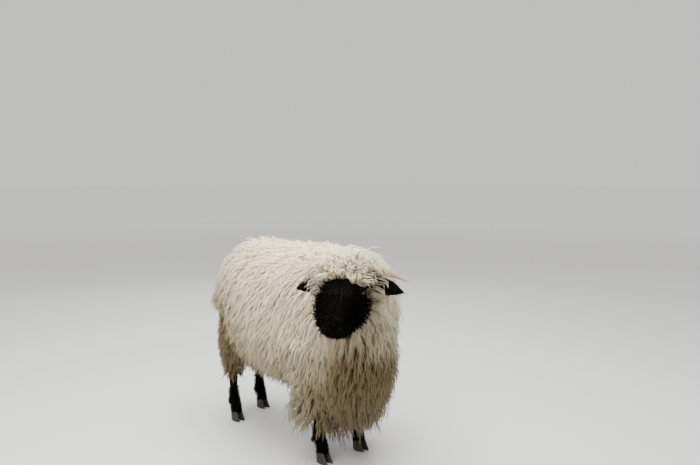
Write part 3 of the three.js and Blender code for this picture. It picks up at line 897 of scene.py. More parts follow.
@dataclass(frozen=True)
class HornFinish:
    """Waxy pinkish-tan horn, darker towards its root."""

    name: str = "horn"
    root: Triple = (0.20, 0.10, 0.048)
    middle: Triple = (0.40, 0.26, 0.145)
    tip: Triple = (0.48, 0.35, 0.215)
    middle_at: float = 0.55

    def build(self) -> Material:
        """The material: growth bands along the horn's own length."""
        shade = Shade(self.name)
        along = shade.add("ShaderNodeAttribute", attribute_name="Along").outputs["Fac"]
        ramp = shade.ramp(along, self.root, self.tip)
        ramp.color_ramp.elements.new(self.middle_at).color = (*self.middle, 1)
        streaks = shade.mottled(scale=140.0, detail=4.0, low=0.72, high=1.22)
        shade.colour(ramp.outputs["Color"], streaks)
        shade.rough(scale=60.0, detail=3.0, low=0.50, high=0.72)
        shade.bump(shade.spotted(scale=420.0, detail=3.0), distance=0.0008, strength=0.6)
        shade.settings(Specular_IOR_Level=0.22)
        return shade.material


@dataclass(frozen=True)
class EyeFinish:
    """A dark brown eye with a level slit of a pupil, under a wet cornea."""

    name: str = "eye"

    def build(self) -> Material:
        """The material: colours painted on the ball, under a clear coat."""
        shade = Shade(self.name)
        shade.colour(shade.painted())
        shade.settings(Roughness=0.25, Specular_IOR_Level=0.15)
        shade.settings(Coat_Weight=0.30, Coat_Roughness=0.02)
        return shade.material


@dataclass(frozen=True)
class ClawFinish:
    """Dark horn of the claws, ringed and dirty."""

    name: str = "claw"
    dark: Triple = (0.006, 0.005, 0.004)
    light: Triple = (0.032, 0.025, 0.018)

    def build(self) -> Material:
        """The material: dark horn with faint rings down the wall."""
        shade = Shade(self.name)
        ramp = shade.ramp(shade.spotted(scale=110.0, detail=5.0), self.dark, self.light)
        shade.colour(ramp.outputs["Color"])
        shade.rough(scale=60.0, detail=3.0, low=0.40, high=0.70)
        rings = shade.add("ShaderNodeTexWave", bands_direction="Z", Scale=60.0, Distortion=1.6)
        shade.join(shade.add("ShaderNodeTexCoord").outputs["Object"], rings.inputs["Vector"])
        shade.bump(rings.outputs["Fac"], distance=0.0006, strength=0.7)
        return shade.material


@dataclass(frozen=True)
class FloorFinish:
    """A plain pale floor with painted light: it lightens far off, where the lamps reach less, so that it
    runs into the background.
    """

    name: str = "floor"
    near: float = 3.0
    far: float = 14.0
    near_colour: Triple = (0.63, 0.63, 0.62)
    far_painted_light: Triple = (0.97, 0.97, 0.97)

    def build(self) -> Material:
        """The material: pale matt paint, painted lighter further off."""
        shade = Shade(self.name)
        off = shade.add("ShaderNodeVectorMath", operation="LENGTH")
        shade.join(shade.add("ShaderNodeTexCoord").outputs["Object"], off.inputs[0])
        share = shade.add("ShaderNodeMapRange", From_Min=self.near, From_Max=self.far)
        shade.join(off.outputs["Value"], share.inputs["Value"])
        # Painted light: lighter with distance, against the falloff of the lamps
        ramp = shade.ramp(share.outputs["Result"], self.near_colour, self.far_painted_light)
        shade.colour(ramp.outputs["Color"])
        shade.settings(Roughness=0.8)
        return shade.material


class Workbench:
    """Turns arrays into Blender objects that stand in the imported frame."""

    softness = 0.75  # how far the shading normals of tufts lean towards those of the coat

    def __init__(self, animal: Animal) -> None:
        """Finds where the animal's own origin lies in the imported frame, from its front claws."""
        boxes = [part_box(f"claw_front_{side}_{toe}") for side in SIDES for toe in ("outer", "inner")]
        lows = np.array([b[0] for b in boxes])
        highs = np.array([b[1] for b in boxes])
        toe_y = animal.leg_front_y - animal.pastern_reach - animal.claw_toe
        middle = (lows[:, 0].min() + highs[:, 0].max()) / 2
        self.origin = np.array((middle, lows[:, 1].min() - toe_y, 0.0))

    def mesh(self, name: str, shell: Shell) -> Object:
        """An object from a shell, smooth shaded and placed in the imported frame.

        Args:
            name: The object's name.
            shell: Its vertices and triangles in the animal's own frame.

        Returns:
            The object.
        """
        data = bpy.data.meshes.new(name)
        data.vertices.add(len(shell.verts))
        data.vertices.foreach_set("co", (shell.verts + self.origin).astype(np.float32).ravel())
        data.loops.add(shell.tris.size)
        data.loops.foreach_set("vertex_index", shell.tris.astype(np.int32).ravel())
        data.polygons.add(len(shell.tris))
        data.polygons.foreach_set("loop_start", np.arange(0, shell.tris.size, 3, dtype=np.int32))
        data.polygons.foreach_set("use_smooth", np.ones(len(shell.tris), dtype=bool))
        data.update(calc_edges=True)
        return put(name, data)

    def paint(self, made: Object, colours: Array, name: str = "Coat") -> None:
        """Stores a colour on each vertex."""
        colours = np.hstack([colours, np.ones((len(colours), 1))])
        layer = made.data.color_attributes.new(name, "FLOAT_COLOR", "POINT")
        layer.data.foreach_set("color", colours.astype(np.float32).ravel())

    def soften(self, made: Object, shell: Shell, outward: Array) -> None:
        """Leans the shading normals of tufts towards the way the coat as a whole faces.

        Args:
            made: The piece.
            shell: Its vertices and triangles.
            outward: The outward way of the coat at each vertex.
        """
        leaning = unit(shell.normals() * (1 - self.softness) + unit(outward) * self.softness)
        layer = made.data.attributes.new("custom_normal", "FLOAT_VECTOR", "POINT")
        layer.data.foreach_set("vector", leaning.astype(np.float32).ravel())

    def unwrap(self, made: Object, name: str, uv: Array, tris: Array) -> None:
        """Stores a UV map from a place for each vertex."""
        layer = made.data.uv_layers.new(name=name)
        layer.uv.foreach_set("vector", uv[tris.ravel()].astype(np.float32).ravel())

    def fit(
        self, made: Object, material: Material, slot: str, replaces: tuple[str, ...] = ()
    ) -> None:
        """Gives a finished piece its material and ties it to the frame.

        Args:
            made: The piece.
            material: Its finish.
            slot: The slot that the finish stands for; not used.
            replaces: The solids that it stands for.
        """
        made.data.materials.clear()
        made.data.materials.append(material)
        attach(made, "root")
        if replaces:
            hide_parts(*replaces)
        log.info("%s: %d triangles", made.name, len(made.data.polygons))


@dataclass
class Skin:
    """The bare animal: one skin over body, head, lower legs and ears."""

    animal: Animal
    head: HeadFrame
    skull: Skull
    ear: EarForm
    body_voxel: float = 0.0072
    head_voxel: float = 0.0021
    leg_cut: float = 0.62  # share of a leg's length where the finer lower leg takes over
    leg_overlap: float = 0.04
    body: Shell = field(init=False)
    face: Shell = field(init=False)
    shins: dict[str, Shell] = field(init=False)
    ears: dict[str, Shell] = field(init=False)

    def tubes(self) -> list[Tube]:
        """Every part of the body that carries wool, the head apart."""
        animal = self.animal
        legs = [make(side) for side in SIDE_NAMES for make in (animal.front_leg, animal.hind_leg)]
        return [animal.torso(), animal.neck(self.head), animal.bib(), animal.tail(), *legs]

    def melt(self, parts: list[Shell], voxel: float, rounds: int) -> Shell:
        """One smooth closed surface round overlapping parts.

        Args:
            parts: Closed shells.
            voxel: Size of the new faces.
            rounds: How often the surface is smoothed.

        Returns:
            The surface.
        """
        whole = joined(parts)
        data = bpy.data.meshes.new("melting")
        data.from_pydata(whole.verts.tolist(), [], whole.tris.tolist())
        rough = put("melting", data)
        voxels = rough.modifiers.new("Voxels", "REMESH")
        voxels.mode = "VOXEL"
        voxels.voxel_size = voxel
        smooth = rough.modifiers.new("Smooth", "SMOOTH")
        smooth.factor = 0.5
        smooth.iterations = rounds
        made = baked(rough)
        made.calc_loop_triangles()
        verts = read(made.vertices, "co", 3)
        tris = read(made.loop_triangles, "vertices", 3, np.int32)
        bpy.data.meshes.remove(made)
        return Shell(verts, tris)

    def build(self) -> None:
        """Makes the shells of the body, the head, the lower legs and the ears."""
        legs, rest = [], []
        for tube in self.tubes():
            (legs if tube.side else rest).append(tube)
        upper = [tube.shell(40, 40, 0.0, self.leg_cut) for tube in legs]
        self.body = self.melt([tube.shell(60, 48) for tube in rest] + upper, self.body_voxel, 6)
        rough = self.melt(self.skull.rough(), self.head_voxel, 5)
        shaped = self.skull.sculpt(rough.verts, rough.normals(2))
        self.face = Shell(self.head.out(shaped), rough.tris)
        start = self.leg_cut - self.leg_overlap
        self.shins = {f"{tube.region.value}_{tube.side}": tube.shell(70, 36, start, 1.0) for tube in legs}
        self.ears = {}
        for name, side in SIDES.items():
            ear = self.ear.shell(side)
            self.ears[name] = Shell(self.head.out(ear.verts), ear.tris)

    def whole(self) -> Shell:
        """All of the skin as one mesh."""
        return joined([self.body, self.face, *self.shins.values(), *self.ears.values()])


class CoatMap:
    """What grows at each place of the skin: the part of the body, the depth of coat and the unwrap."""

    def __init__(self, tubes: list[Tube], around: int = 56, along: int = 56) -> None:
        """Samples the surface of every part."""
        shares = (np.arange(along) + 0.5) / along
        turn = np.linspace(0, ROUND, around, endpoint=False)
        t, angle = (g.ravel() for g in np.meshgrid(shares, turn, indexing="ij"))
        self.tubes = tubes
        self.points = np.vstack([tube.surface(t, angle) for tube in tubes])
        self.depth = np.concatenate([tube.sizes(t)[:, 2] for tube in tubes])
        self.owner = np.repeat(np.arange(len(tubes)), len(t))
        self.uv = np.tile(np.stack([angle / ROUND, t], 1), (len(tubes), 1))
        self.tree = sorted_tree(self.points)

    def look_up(self, points: Array, count: int = 4) -> tuple[Array, Array, Array]:
        """Depth of coat, owning part and unwrap at places on the skin.

        Args:
            points: Places, one a row.
            count: How many samples the depth is averaged over.

        Returns:
            Depths, indices of parts, and places on the parts' unwraps.
        """
        depth = np.empty(len(points))
        nearest = np.empty(len(points), dtype=int)
        for row, point in enumerate(points.tolist()):
            found = self.tree.find_n(point, count)
            weights = [1 / (f[2] + 1e-3) for f in found]
            depth[row] = sum(w * self.depth[f[1]] for w, f in zip(weights, found)) / sum(weights)
            nearest[row] = found[0][1]
        return depth, self.owner[nearest], self.uv[nearest]


@dataclass(frozen=True)
class Growth:
    """How the coat of one part grows: spacing, length, thickness, wave and layers of its tufts."""

    apart: float
    lock_apart: float
    length: float
    half_width: float
    wave: float
    period: float
    gather: float = 0.45  # how far the tufts of a lock draw together at its tip
    steps: int = 7
    bend: float = 0.72  # share of the length at which a tuft has turned from standing to lying
    flat: float = 0.7
    lengths_differ: float = 0.22
    unruly: float = 0.14
    layers: float = 0.22  # share of the depth by which some tufts lie lower than others
    strays: float = 0.02
    fuzz: float = 0.005  # how far the tips of tufts part from their lock

    def shares(self) -> Array:
        """Places of the steps along a tuft: few while it rises, more where it shows."""
        rising = [0.0, self.bend * 0.6, self.bend * 0.88][: self.steps - 2]
        return np.concatenate([rising, np.linspace(self.bend, 1.0, self.steps - len(rising))])


def scatter(shell: Shell, apart: float, wanted: Array, seed: int) -> tuple[Array, Array]:
    """Evenly spread random places on a surface.

    Args:
        shell: The surface.
        apart: Least distance between two places.
        wanted: Which triangles may carry them.
        seed: Start of the random draw.

    Returns:
        The places and the outward normals there.
    """
    rng = np.random.default_rng(seed)
    areas = shell.areas() * wanted
    count = int(areas.sum() / (apart * apart) * TRIES)
    if count == 0:
        return np.zeros((0, 3)), np.zeros((0, 3))
    picks = rng.choice(len(areas), count, p=areas / areas.sum())
    weights = rng.dirichlet((1, 1, 1), count)
    corners = shell.tris[picks]
    places = np.einsum("ij,ijk->ik", weights, shell.verts[corners])
    normals = unit(np.einsum("ij,ijk->ik", weights, shell.normals(3)[corners]))
    tree = sorted_tree(places)
    free = np.ones(count, dtype=bool)
    kept = []
    for k, point in enumerate(places.tolist()):
        if not free[k]:
            continue
        kept.append(k)
        for _, near, _ in tree.find_range(point, apart):
            free[near] = False
    return places[kept], normals[kept]


@dataclass
class Tufts:
    """Many thin tapered tufts as one mesh."""

    paths: Array  # by tuft, step and axis
    outward: Array  # the way each tuft's flat side faces, by tuft, step and axis
    half_widths: Array
    flat: float
    shares: Array  # place of each step along the tuft, 0 to 1

    def shell(self) -> Shell:
        """The closed mesh: three sides, a cap at the root and a point at the tip."""
        count, steps = self.paths.shape[:2]
        ahead = np.gradient(self.paths, axis=1)
        across = unit(np.cross(unit(ahead), self.outward))
        over = unit(np.cross(across, unit(ahead)))
        taper = np.minimum(1.0, 0.55 + 2.2 * self.shares) * (1 - 0.82 * self.shares**3)
        half = self.half_widths[:, None] * taper[None, :]
        rings = []
        for angle in (math.pi / 2, math.pi * 7 / 6, math.pi * 11 / 6):
            sideways = across * (half * math.cos(angle))[..., None]
            upwards = over * (half * self.flat * math.sin(angle))[..., None]
            rings.append((self.paths + sideways + upwards)[:, :-1])
        body = np.stack(rings, 2).reshape(count, (steps - 1) * 3, 3)
        verts = np.concatenate([body, self.paths[:, -1:]], 1)
        one = [(0, 1, 2)]
        for k in range(steps - 2):
            for j in range(3):
                a, b = 3 * k + j, 3 * k + (j + 1) % 3
                one += [(a, b + 3, b), (a, a + 3, b + 3)]
        top = 3 * (steps - 2)
        one += [(top + j, 3 * (steps - 1), top + (j + 1) % 3) for j in range(3)]
        tris = np.array(one)[None] + (np.arange(count) * verts.shape[1])[:, None, None]
        return Shell(verts.reshape(-1, 3), tris.reshape(-1, 3))

    def per_vertex(self, values: Array) -> Array:
        """A value of each tuft repeated for its vertices."""
        return np.repeat(values, 3 * (self.paths.shape[1] - 1) + 1, axis=0)

    def per_vertex_step(self, values: Array) -> Array:
        """A value of each tuft and step repeated for its vertices."""
        body = np.repeat(values[:, :-1], 3, axis=1)
        return np.concatenate([body, values[:, -1:]], 1).reshape(-1, values.shape[2])

    def vertex_shares(self) -> Array:
        """How far along its tuft each vertex is."""
        one = np.concatenate([np.repeat(self.shares[:-1], 3), self.shares[-1:]])
        return np.tile(one, len(self.paths))

    def vertex_sides(self) -> Array:
        """Which way round its tuft each vertex is, 0 to 1."""
        one = np.concatenate([np.tile([0.5, 0.0, 1.0], self.paths.shape[1] - 1), [0.5]])
        return np.tile(one, len(self.paths))


@dataclass
class Comb:
    """Lays tufts over the skin the way the coat falls."""

    skin: Shell
    normals: Array
    depths: Array
    settle: float = 0.8  # share of a tuft's wrong height that each step takes away
    tree: KDTree = field(init=False)

    def __post_init__(self) -> None:
        """Sorts the skin's vertices for quick searching."""
        self.tree = sorted_tree(self.skin.verts)

    def nearest(self, points: Array) -> Array:
        """Indices of the skin's vertices nearest to points."""
        return np.fromiter((self.tree.find(p)[1] for p in points.tolist()), int, len(points))

    def lay(
        self, roots: Array, normals: Array, depths: Array, lengths: Array, growth: Growth, falls: Array
    ) -> tuple[Array, Array, Array]:
        """Paths that rise from the skin, bend over and follow the fall of the coat.

        Args:
            roots: Where the paths start.
            normals: The outward way there.
            depths: How high above the skin each path lies.
            lengths: Length of each path.
            growth: How this part's coat grows.
            falls: The way each path would hang.

        Returns:
            Points and outward ways by path and step, and the share of the length at each step.
        """
        shares = growth.shares()
        here, outward = roots, normals
        points, ways = [roots], [normals]
        for before, after in zip(shares[:-1], shares[1:]):
            pressed = np.minimum((outward * falls).sum(1), 0.0)[:, None]
            lie = unit(falls - pressed * outward)
            turned = float(eased(growth.bend * 0.5, growth.bend * 1.2, np.array(after)))
            heading = unit(normals * (1 - turned) + lie * turned)
            here = here + heading * (lengths * (after - before))[:, None]
            index = self.nearest(here)
            outward = unit(outward + 2 * self.normals[index])
            height = ((here - self.skin.verts[index]) * outward).sum(1)
            target = depths * min(1.0, after / growth.bend) ** 0.8
            bears = np.clip(outward[:, 2] * 1.6 + 0.9, 0.0, 1.0)
            excess = height - target
            settled = self.settle * np.where(excess > 0, excess * bears, excess)
            here = here - outward * settled[:, None]
            points.append(here)
            ways.append(outward)
        return np.stack(points, 1), np.stack(ways, 1), shares


class Studio:
    """Floor, light and camera."""

    camera_at = (-1.717, -2.216, 1.10)  # in the animal's own frame
    azimuth = math.radians(-42)
    pitch = math.radians(4.83)
    lens = 35.0
    sensor = 36.0
    floor_half = 60.0
    sky = (1.0, 0.99, 0.97, 1)
    sky_strength = 0.85
    # Where each lamp hangs, the length of its sides and its watts
    lamps = {
        "overhead": ((-0.3, -0.3, 3.4), 3.0, 265.0),
        "key": ((-3.2, -1.6, 3.0), 2.2, 110.0),
        "rim": ((1.8, 3.0, 2.6), 2.0, 45.0),
    }
    lit = (0, 0, 0.45)  # the place that the lamps look at

    def __init__(self, bench: Workbench) -> None:
        """Keeps the workbench for its origin."""
        self.bench = bench

    def add_camera(self) -> None:
        """The camera at the photo's viewing angle."""
        data = bpy.data.cameras.new("camera")
        data.lens = self.lens
        data.sensor_width = self.sensor
        data.sensor_fit = "HORIZONTAL"
        made = put("camera", data)
        made.location = Vector(self.bench.origin + np.array(self.camera_at))
        level = math.cos(self.pitch)
        ahead = (-math.sin(self.azimuth) * level, math.cos(self.azimuth) * level, -math.sin(self.pitch))
        turned(made, Vector(ahead))
        bpy.context.scene.camera = made

    def add_floor(self) -> None:
        """A wide pale floor under the feet."""
        half = self.floor_half
        corners = [(-half, -half, 0), (half, -half, 0), (half, half, 0), (-half, half, 0)]
        data = bpy.data.meshes.new("floor")
        data.from_pydata(corners, [], [(0, 1, 2, 3)])
        data.materials.append(FloorFinish().build())
        floor = put("floor", data)

    def add_lamp(self, name: str, at: Triple, size: float, power: float) -> None:
        """A soft square lamp that looks at the animal.

        Args:
            name: Its name.
            at: Where it hangs.
            size: Length of its sides.
            power: Watts.
        """
        data = bpy.data.lights.new(name, "AREA")
        data.size = size
        data.energy = power
        lamp = put(name, data)
        lamp.location = at
        turned(lamp, Vector(self.lit) - Vector(at))

    def build(self) -> None:
        """Everything round the animal."""
        world = bpy.data.worlds.new("sky")
        world.use_nodes = True
        background = world.node_tree.nodes["Background"]
        background.inputs["Color"].default_value = self.sky
        background.inputs["Strength"].default_value = self.sky_strength
        bpy.context.scene.world = world
        self.add_floor()
        for name, (at, size, power) in self.lamps.items():
            self.add_lamp(name, at, size, power)
        self.add_camera()


def same(value: float | Triple | Array) -> Callable[..., Array]:
    """A function that gives every point the same value."""
    return lambda points, *_: np.full((len(points), *np.shape(value)), value)


Where = Callable[[Array], Array]
WhereTurned = Callable[[Array, Array], Array]


@dataclass
class Plot:
    """A part of the skin with one kind of coat."""

    name: str
    shell: Shell
    comb: Comb
    wanted: Array  # which triangles of the shell carry it
    growth: Growth
    depth_of: Where
    length_of: WhereTurned  # share of the full length, from roots and normals
    fall_of: WhereTurned
    unwrap_of: Where
    black: bool = False


@dataclass
class Strands:
    """Tufts along the guides of their locks, before they get paths of their own."""

    growth: Growth
    paths: Array
    over: Array  # outward ways, by tuft and step
    lengths: Array
    shares: Array
    lock: Array  # the lock of each tuft
    locks: int
    rng: np.random.Generator
    wave_rise: float = 0.6  # height of the wave over the coat, as a share of that along it
    off_beat: float = 0.93
    off_phase: float = 1.3
    stray_reach: float = 0.12  # how far stray tips part, as a share of the length

    def wave(self) -> None:
        """Waves tufts to both sides, nearly in step with the others of their lock."""
        growth, rng, count = self.growth, self.rng, len(self.paths)
        across = unit(np.cross(unit(np.gradient(self.paths, axis=1)), self.over))
        grown = eased(growth.bend * 0.5, growth.bend * 0.5 + 0.45, self.shares)
        phase = rng.uniform(0, ROUND, self.locks)[self.lock] + rng.normal(0, 0.6, count)
        period = growth.period * rng.uniform(0.8, 1.25, self.locks)[self.lock]
        swing = (growth.wave * rng.uniform(0.5, 1.3, count))[:, None] * grown
        turn = ROUND * self.shares[None, :] * self.lengths[:, None] / period[:, None] + phase[:, None]
        rise = self.wave_rise * np.sin(turn * self.off_beat + self.off_phase)
        aside, above = swing * np.sin(turn), swing * rise
        self.paths = self.paths + across * aside[..., None] + self.over * above[..., None]

    def loosen(self, depths: Array) -> None:
        """Sinks some tufts, parts their tips and lets a few stray, all above the floor."""
        growth, rng, count = self.growth, self.rng, len(self.paths)
        sunk = growth.layers * depths * rng.uniform(-1, 0.3, count)
        sunk = sunk[:, None] * eased(0.1, 0.5, self.shares)
        fuzz = growth.fuzz * rng.normal(size=(count, 3))
        strays = (rng.random(count) < growth.strays)[:, None]
        stray = strays * rng.normal(0, growth.length * self.stray_reach, (count, 3))
        tips = (self.shares**2)[None, :, None]
        moved = self.paths + self.over * sunk[..., None] + fuzz[:, None] * tips + stray[:, None] * tips
        moved[:, :, 2] = np.maximum(moved[:, :, 2], FLOOR_ROOM)
        self.paths = moved


class Coat:
    """Grows tufts and locks on plots of skin and makes each plot a piece."""

    bar_room = 0.010  # no wool passes nearer to the showing part of an ear or horn
    strand_run = 0.15  # how much of the fibre pattern a metre of tuft covers
    strand_wide = 0.05

    def __init__(self, bench: Workbench, wool: Wool, bars: Array) -> None:
        """Makes the two finishes of the coat.

        Args:
            bench: Places the pieces.
            wool: Colours of the coat.
            bars: Points of ears and horns that no wool hangs over.
        """
        self.bench = bench
        self.wool = wool
        self.seed = 10
        self.bars = sorted_tree(bars)
        self.near_bars = (bars.min(0) - self.bar_room, bars.max(0) + self.bar_room)
        self.white_finish = HairFinish("fleece", 0.95, 0.20, 0.10, 0.12).build()
        self.black_finish = HairFinish("black_coat", 0.90, 0.0, 0.008, 0.20).build()

    def hung_clear(self, paths: Array) -> Array:
        """Which tufts, given by tuft and step, keep clear of ears and horns."""
        low, high = self.near_bars
        outer = paths[:, 2:]
        close = ((outer > low) & (outer < high)).all(2)
        clear = np.ones(len(paths), dtype=bool)
        for tuft, step in zip(*np.nonzero(close)):
            if clear[tuft] and self.bars.find(outer[tuft, step])[2] < self.bar_room:
                clear[tuft] = False
        return clear

    def grow(self, plot: Plot) -> None:
        """Grows one plot: locks of waved tufts that follow shared guides.

        Args:
            plot: Where the tufts stand and how they grow.
        """
        self.seed += 10
        rng = np.random.default_rng(self.seed)
        growth = plot.growth
        guides, ways = scatter(plot.shell, growth.lock_apart, plot.wanted, self.seed)
        roots, _ = scatter(plot.shell, growth.apart, plot.wanted, self.seed + 1)
        if len(guides) == 0 or len(roots) == 0:
            return
        falls = unit(plot.fall_of(guides, ways) + growth.unruly * rng.normal(size=(len(guides), 3)))
        depths = plot.depth_of(guides) * rng.uniform(0.90, 1.0, len(guides))
        lengths = growth.length * plot.length_of(guides, ways) * rng.uniform(0.85, 1.1, len(guides))
        paths, outward, shares = plot.comb.lay(guides, ways, depths, lengths, growth, falls)
        tree = sorted_tree(guides)
        lock = np.fromiter((tree.find(p)[1] for p in roots.tolist()), int, len(roots))
        differ = 1 + growth.lengths_differ * rng.uniform(-1, 0.6, len(roots))
        own = paths[lock]
        moves = np.diff(own, axis=1) * differ[:, None, None]
        own = np.concatenate([own[:, :1], own[:, :1] + np.cumsum(moves, 1)], 1)
        drawn = 1 - growth.gather * shares**1.2
        own = own + (roots - guides[lock])[:, None, :] * drawn[None, :, None]
        over, own_lengths = outward[lock], lengths[lock] * differ
        strands = Strands(growth, own, over, own_lengths, shares, lock, len(guides), rng)
        strands.wave()
        strands.loosen(plot.depth_of(guides)[lock])
        widths = growth.half_width * rng.uniform(0.6, 1.3, len(roots))
        keep = np.ones(len(roots), dtype=bool) if plot.black else self.hung_clear(strands.paths)
        tufts = Tufts(strands.paths[keep], over[keep], widths[keep], growth.flat, shares)
        self.finish(plot, tufts, roots[keep], own_lengths[keep], rng)

    def finish(
        self, plot: Plot, tufts: Tufts, roots: Array, lengths: Array, rng: np.random.Generator
    ) -> None:
        """Turns tufts into a painted and unwrapped piece.

        Args:
            plot: Where they grow.
            tufts: The tufts.
            roots: Their roots.
            lengths: Their lengths.
            rng: Random draws.
        """
        shell = tufts.shell()
        made = self.bench.mesh(plot.name, shell)
        self.bench.soften(made, shell, tufts.per_vertex_step(tufts.outward))
        shares = tufts.vertex_shares()
        sides = tufts.vertex_sides()
        tone = tufts.per_vertex(rng.uniform(0.88, 1.08, len(roots)))
        black = np.full(len(shell.verts), float(plot.black))
        self.bench.paint(made, self.wool.tint(shell.verts, black, shares, tone))
        patch = np.stack([sides - 0.5, shares - 0.5], 1) * TUFT_PATCH
        places = tufts.per_vertex(plot.unwrap_of(roots)) + patch
        self.bench.unwrap(made, "OFBake", np.clip(places, 0, 1), shell.tris)
        along = shares * tufts.per_vertex(lengths) * self.strand_run
        beside = sides * self.strand_wide + tufts.per_vertex(rng.random(len(roots)))
        strand = np.stack([beside, along], 1)
        self.bench.unwrap(made, "Strand", strand, shell.tris)
        finish = self.black_finish if plot.black else self.white_finish
        self.bench.fit(made, finish, "black_coat" if plot.black else "fleece")


class BodyCoat:
    """The long white wool of trunk, neck, chest, tail and legs, and the black boots."""

    # Distances between tufts and between locks, length, half width, wave and its period
    growths = {
        Region.TORSO: Growth(
            0.0045, 0.0110, 0.114, 0.0027, 0.0022, 0.025, gather=0.22, bend=0.74, unruly=0.20
        ),
        Region.NECK: Growth(
            0.0044, 0.0110, 0.112, 0.0026, 0.0022, 0.025, gather=0.22, bend=0.74, unruly=0.20
        ),
        Region.BIB: Growth(0.0044, 0.0120, 0.118, 0.0024, 0.0028, 0.025, gather=0.42, steps=8, bend=0.68),
        Region.TAIL: Growth(0.0050, 0.0125, 0.085, 0.0024, 0.0024, 0.025, bend=0.55),
        Region.LEG_FRONT: Growth(0.0048, 0.0125, 0.088, 0.0024, 0.0026, 0.025, bend=0.62),
        Region.LEG_HIND: Growth(0.0048, 0.0125, 0.086, 0.0024, 0.0026, 0.025, bend=0.62),
    }
    boots = Growth(
        0.0042, 0.011, 0.020, 0.0013, 0.0006, 0.030, gather=0.3, steps=4, bend=0.5, flat=0.5, fuzz=0.001
    )
    boot_depth = 0.0045
    spine_fall = (0.0, 0.30, -1.0)
    hanging = (0.0, 0.05, -1.0)
    thin = 0.012  # coat less deep than this is short hair
    rear_cut = 0.50
    fringe_gain = 0.65
    head_core = 0.062  # what lies nearer to the middle line of the head grows no wool
    head_end = -0.25

    def __init__(self, coat: Coat, skin: Skin, markings: Markings) -> None:
        """Looks up what grows where on the body."""
        self.coat = coat
        self.skin = skin
        self.markings = markings
        self.map = CoatMap(skin.tubes())
        depth, self.owner, _ = self.map.look_up(skin.body.verts)
        self.comb = Comb(skin.body, skin.body.normals(6), depth)

    def depth(self, points: Array) -> Array:
        """Depth of coat at places on the body: less behind, more round the low front."""
        behind = eased(0.20, 0.42, points[:, 1])
        fringe = (1 - eased(-0.20, -0.12, points[:, 1])) * (1 - eased(0.20, 0.30, points[:, 2]))
        return self.map.look_up(points)[0] * (1 - self.rear_cut * behind + self.fringe_gain * fringe)

    def unwrap(self, points: Array) -> Array:
        """Unwrap of places on the body."""
        return self.map.look_up(points, 1)[2]

    def length(self, points: Array, normals: Array) -> Array:
        """Share of the full length: shorter where the coat is thin and under the belly."""
        thin = 0.3 + 0.7 * np.clip(self.depth(points) / self.skin.animal.coat, 0, 1.2)
        return thin * (1 - 0.5 * np.clip(-normals[:, 2], 0, 1))

    def grow(self) -> None:
        """The wool of every part of the body, in pieces small enough to keep all their faces."""
        shell = self.skin.body
        centres = shell.verts[shell.tris].mean(1)
        owners = self.owner[shell.tris[:, 0]]
        h = self.skin.head.into(centres)
        in_head = (h[:, 1] < 0) & (h[:, 1] > self.head_end)
        in_head &= np.hypot(h[:, 0], h[:, 2] + Skull.axis_drop) < self.head_core
        deep = self.comb.depths[shell.tris[:, 0]] > self.thin
        wool = ~self.markings.black(centres) & ~in_head & deep
        x, y = centres[:, 0], centres[:, 1]
        thirds = {"fore": y < -0.08, "middle": (y >= -0.08) & (y < 0.18), "hind": y >= 0.18}
        for index, tube in enumerate(self.skin.tubes()):
            parts = {"": np.ones(len(centres), dtype=bool)}
            if tube.region is Region.TORSO:
                parts = {
                    f"_{name}_{third}": (np.sign(x) == side) & inside
                    for name, side in SIDES.items()
                    for third, inside in thirds.items()
                }
            if tube.side:
                parts = {f"_{SIDE_NAMES[tube.side]}": parts[""]}
            fall = self.spine_fall if tube.region is Region.TORSO else self.hanging
            for suffix, inside in parts.items():
                self.coat.grow(
                    Plot(
                        f"fleece_{tube.region.value}{suffix}",
                        shell,
                        self.comb,
                        wool & (owners == index) & inside,
                        self.growths[tube.region],
                        self.depth,
                        self.length,
                        same(fall),
                        self.unwrap,
                    )
                )

    def grow_boots(self) -> None:
        """The short black hair of the lower legs."""
        claw_top = self.skin.animal.claw_height + 0.004
        for name, shell in self.skin.shins.items():
            part, side = name.rsplit("_", 1)
            centres = shell.verts[shell.tris].mean(1)
            wanted = self.markings.black(centres) & (centres[:, 2] > claw_top)
            comb = Comb(shell, shell.normals(2), np.full(len(shell.verts), self.boot_depth))
            self.coat.grow(
                Plot(
                    f"boot_{part.split('_')[1]}_{SIDE_NAMES[int(side)]}",
                    shell,
                    comb,
                    wanted,
                    self.boots,
                    lambda points: self.boot_depth * (1 + 1.6 * eased(0.10, 0.20, points[:, 2])),
                    lambda points, normals: 1 + 0.9 * eased(0.10, 0.20, points[:, 2]),
                    same(self.hanging),
                    self.unwrap,
                    black=True,
                )
            )


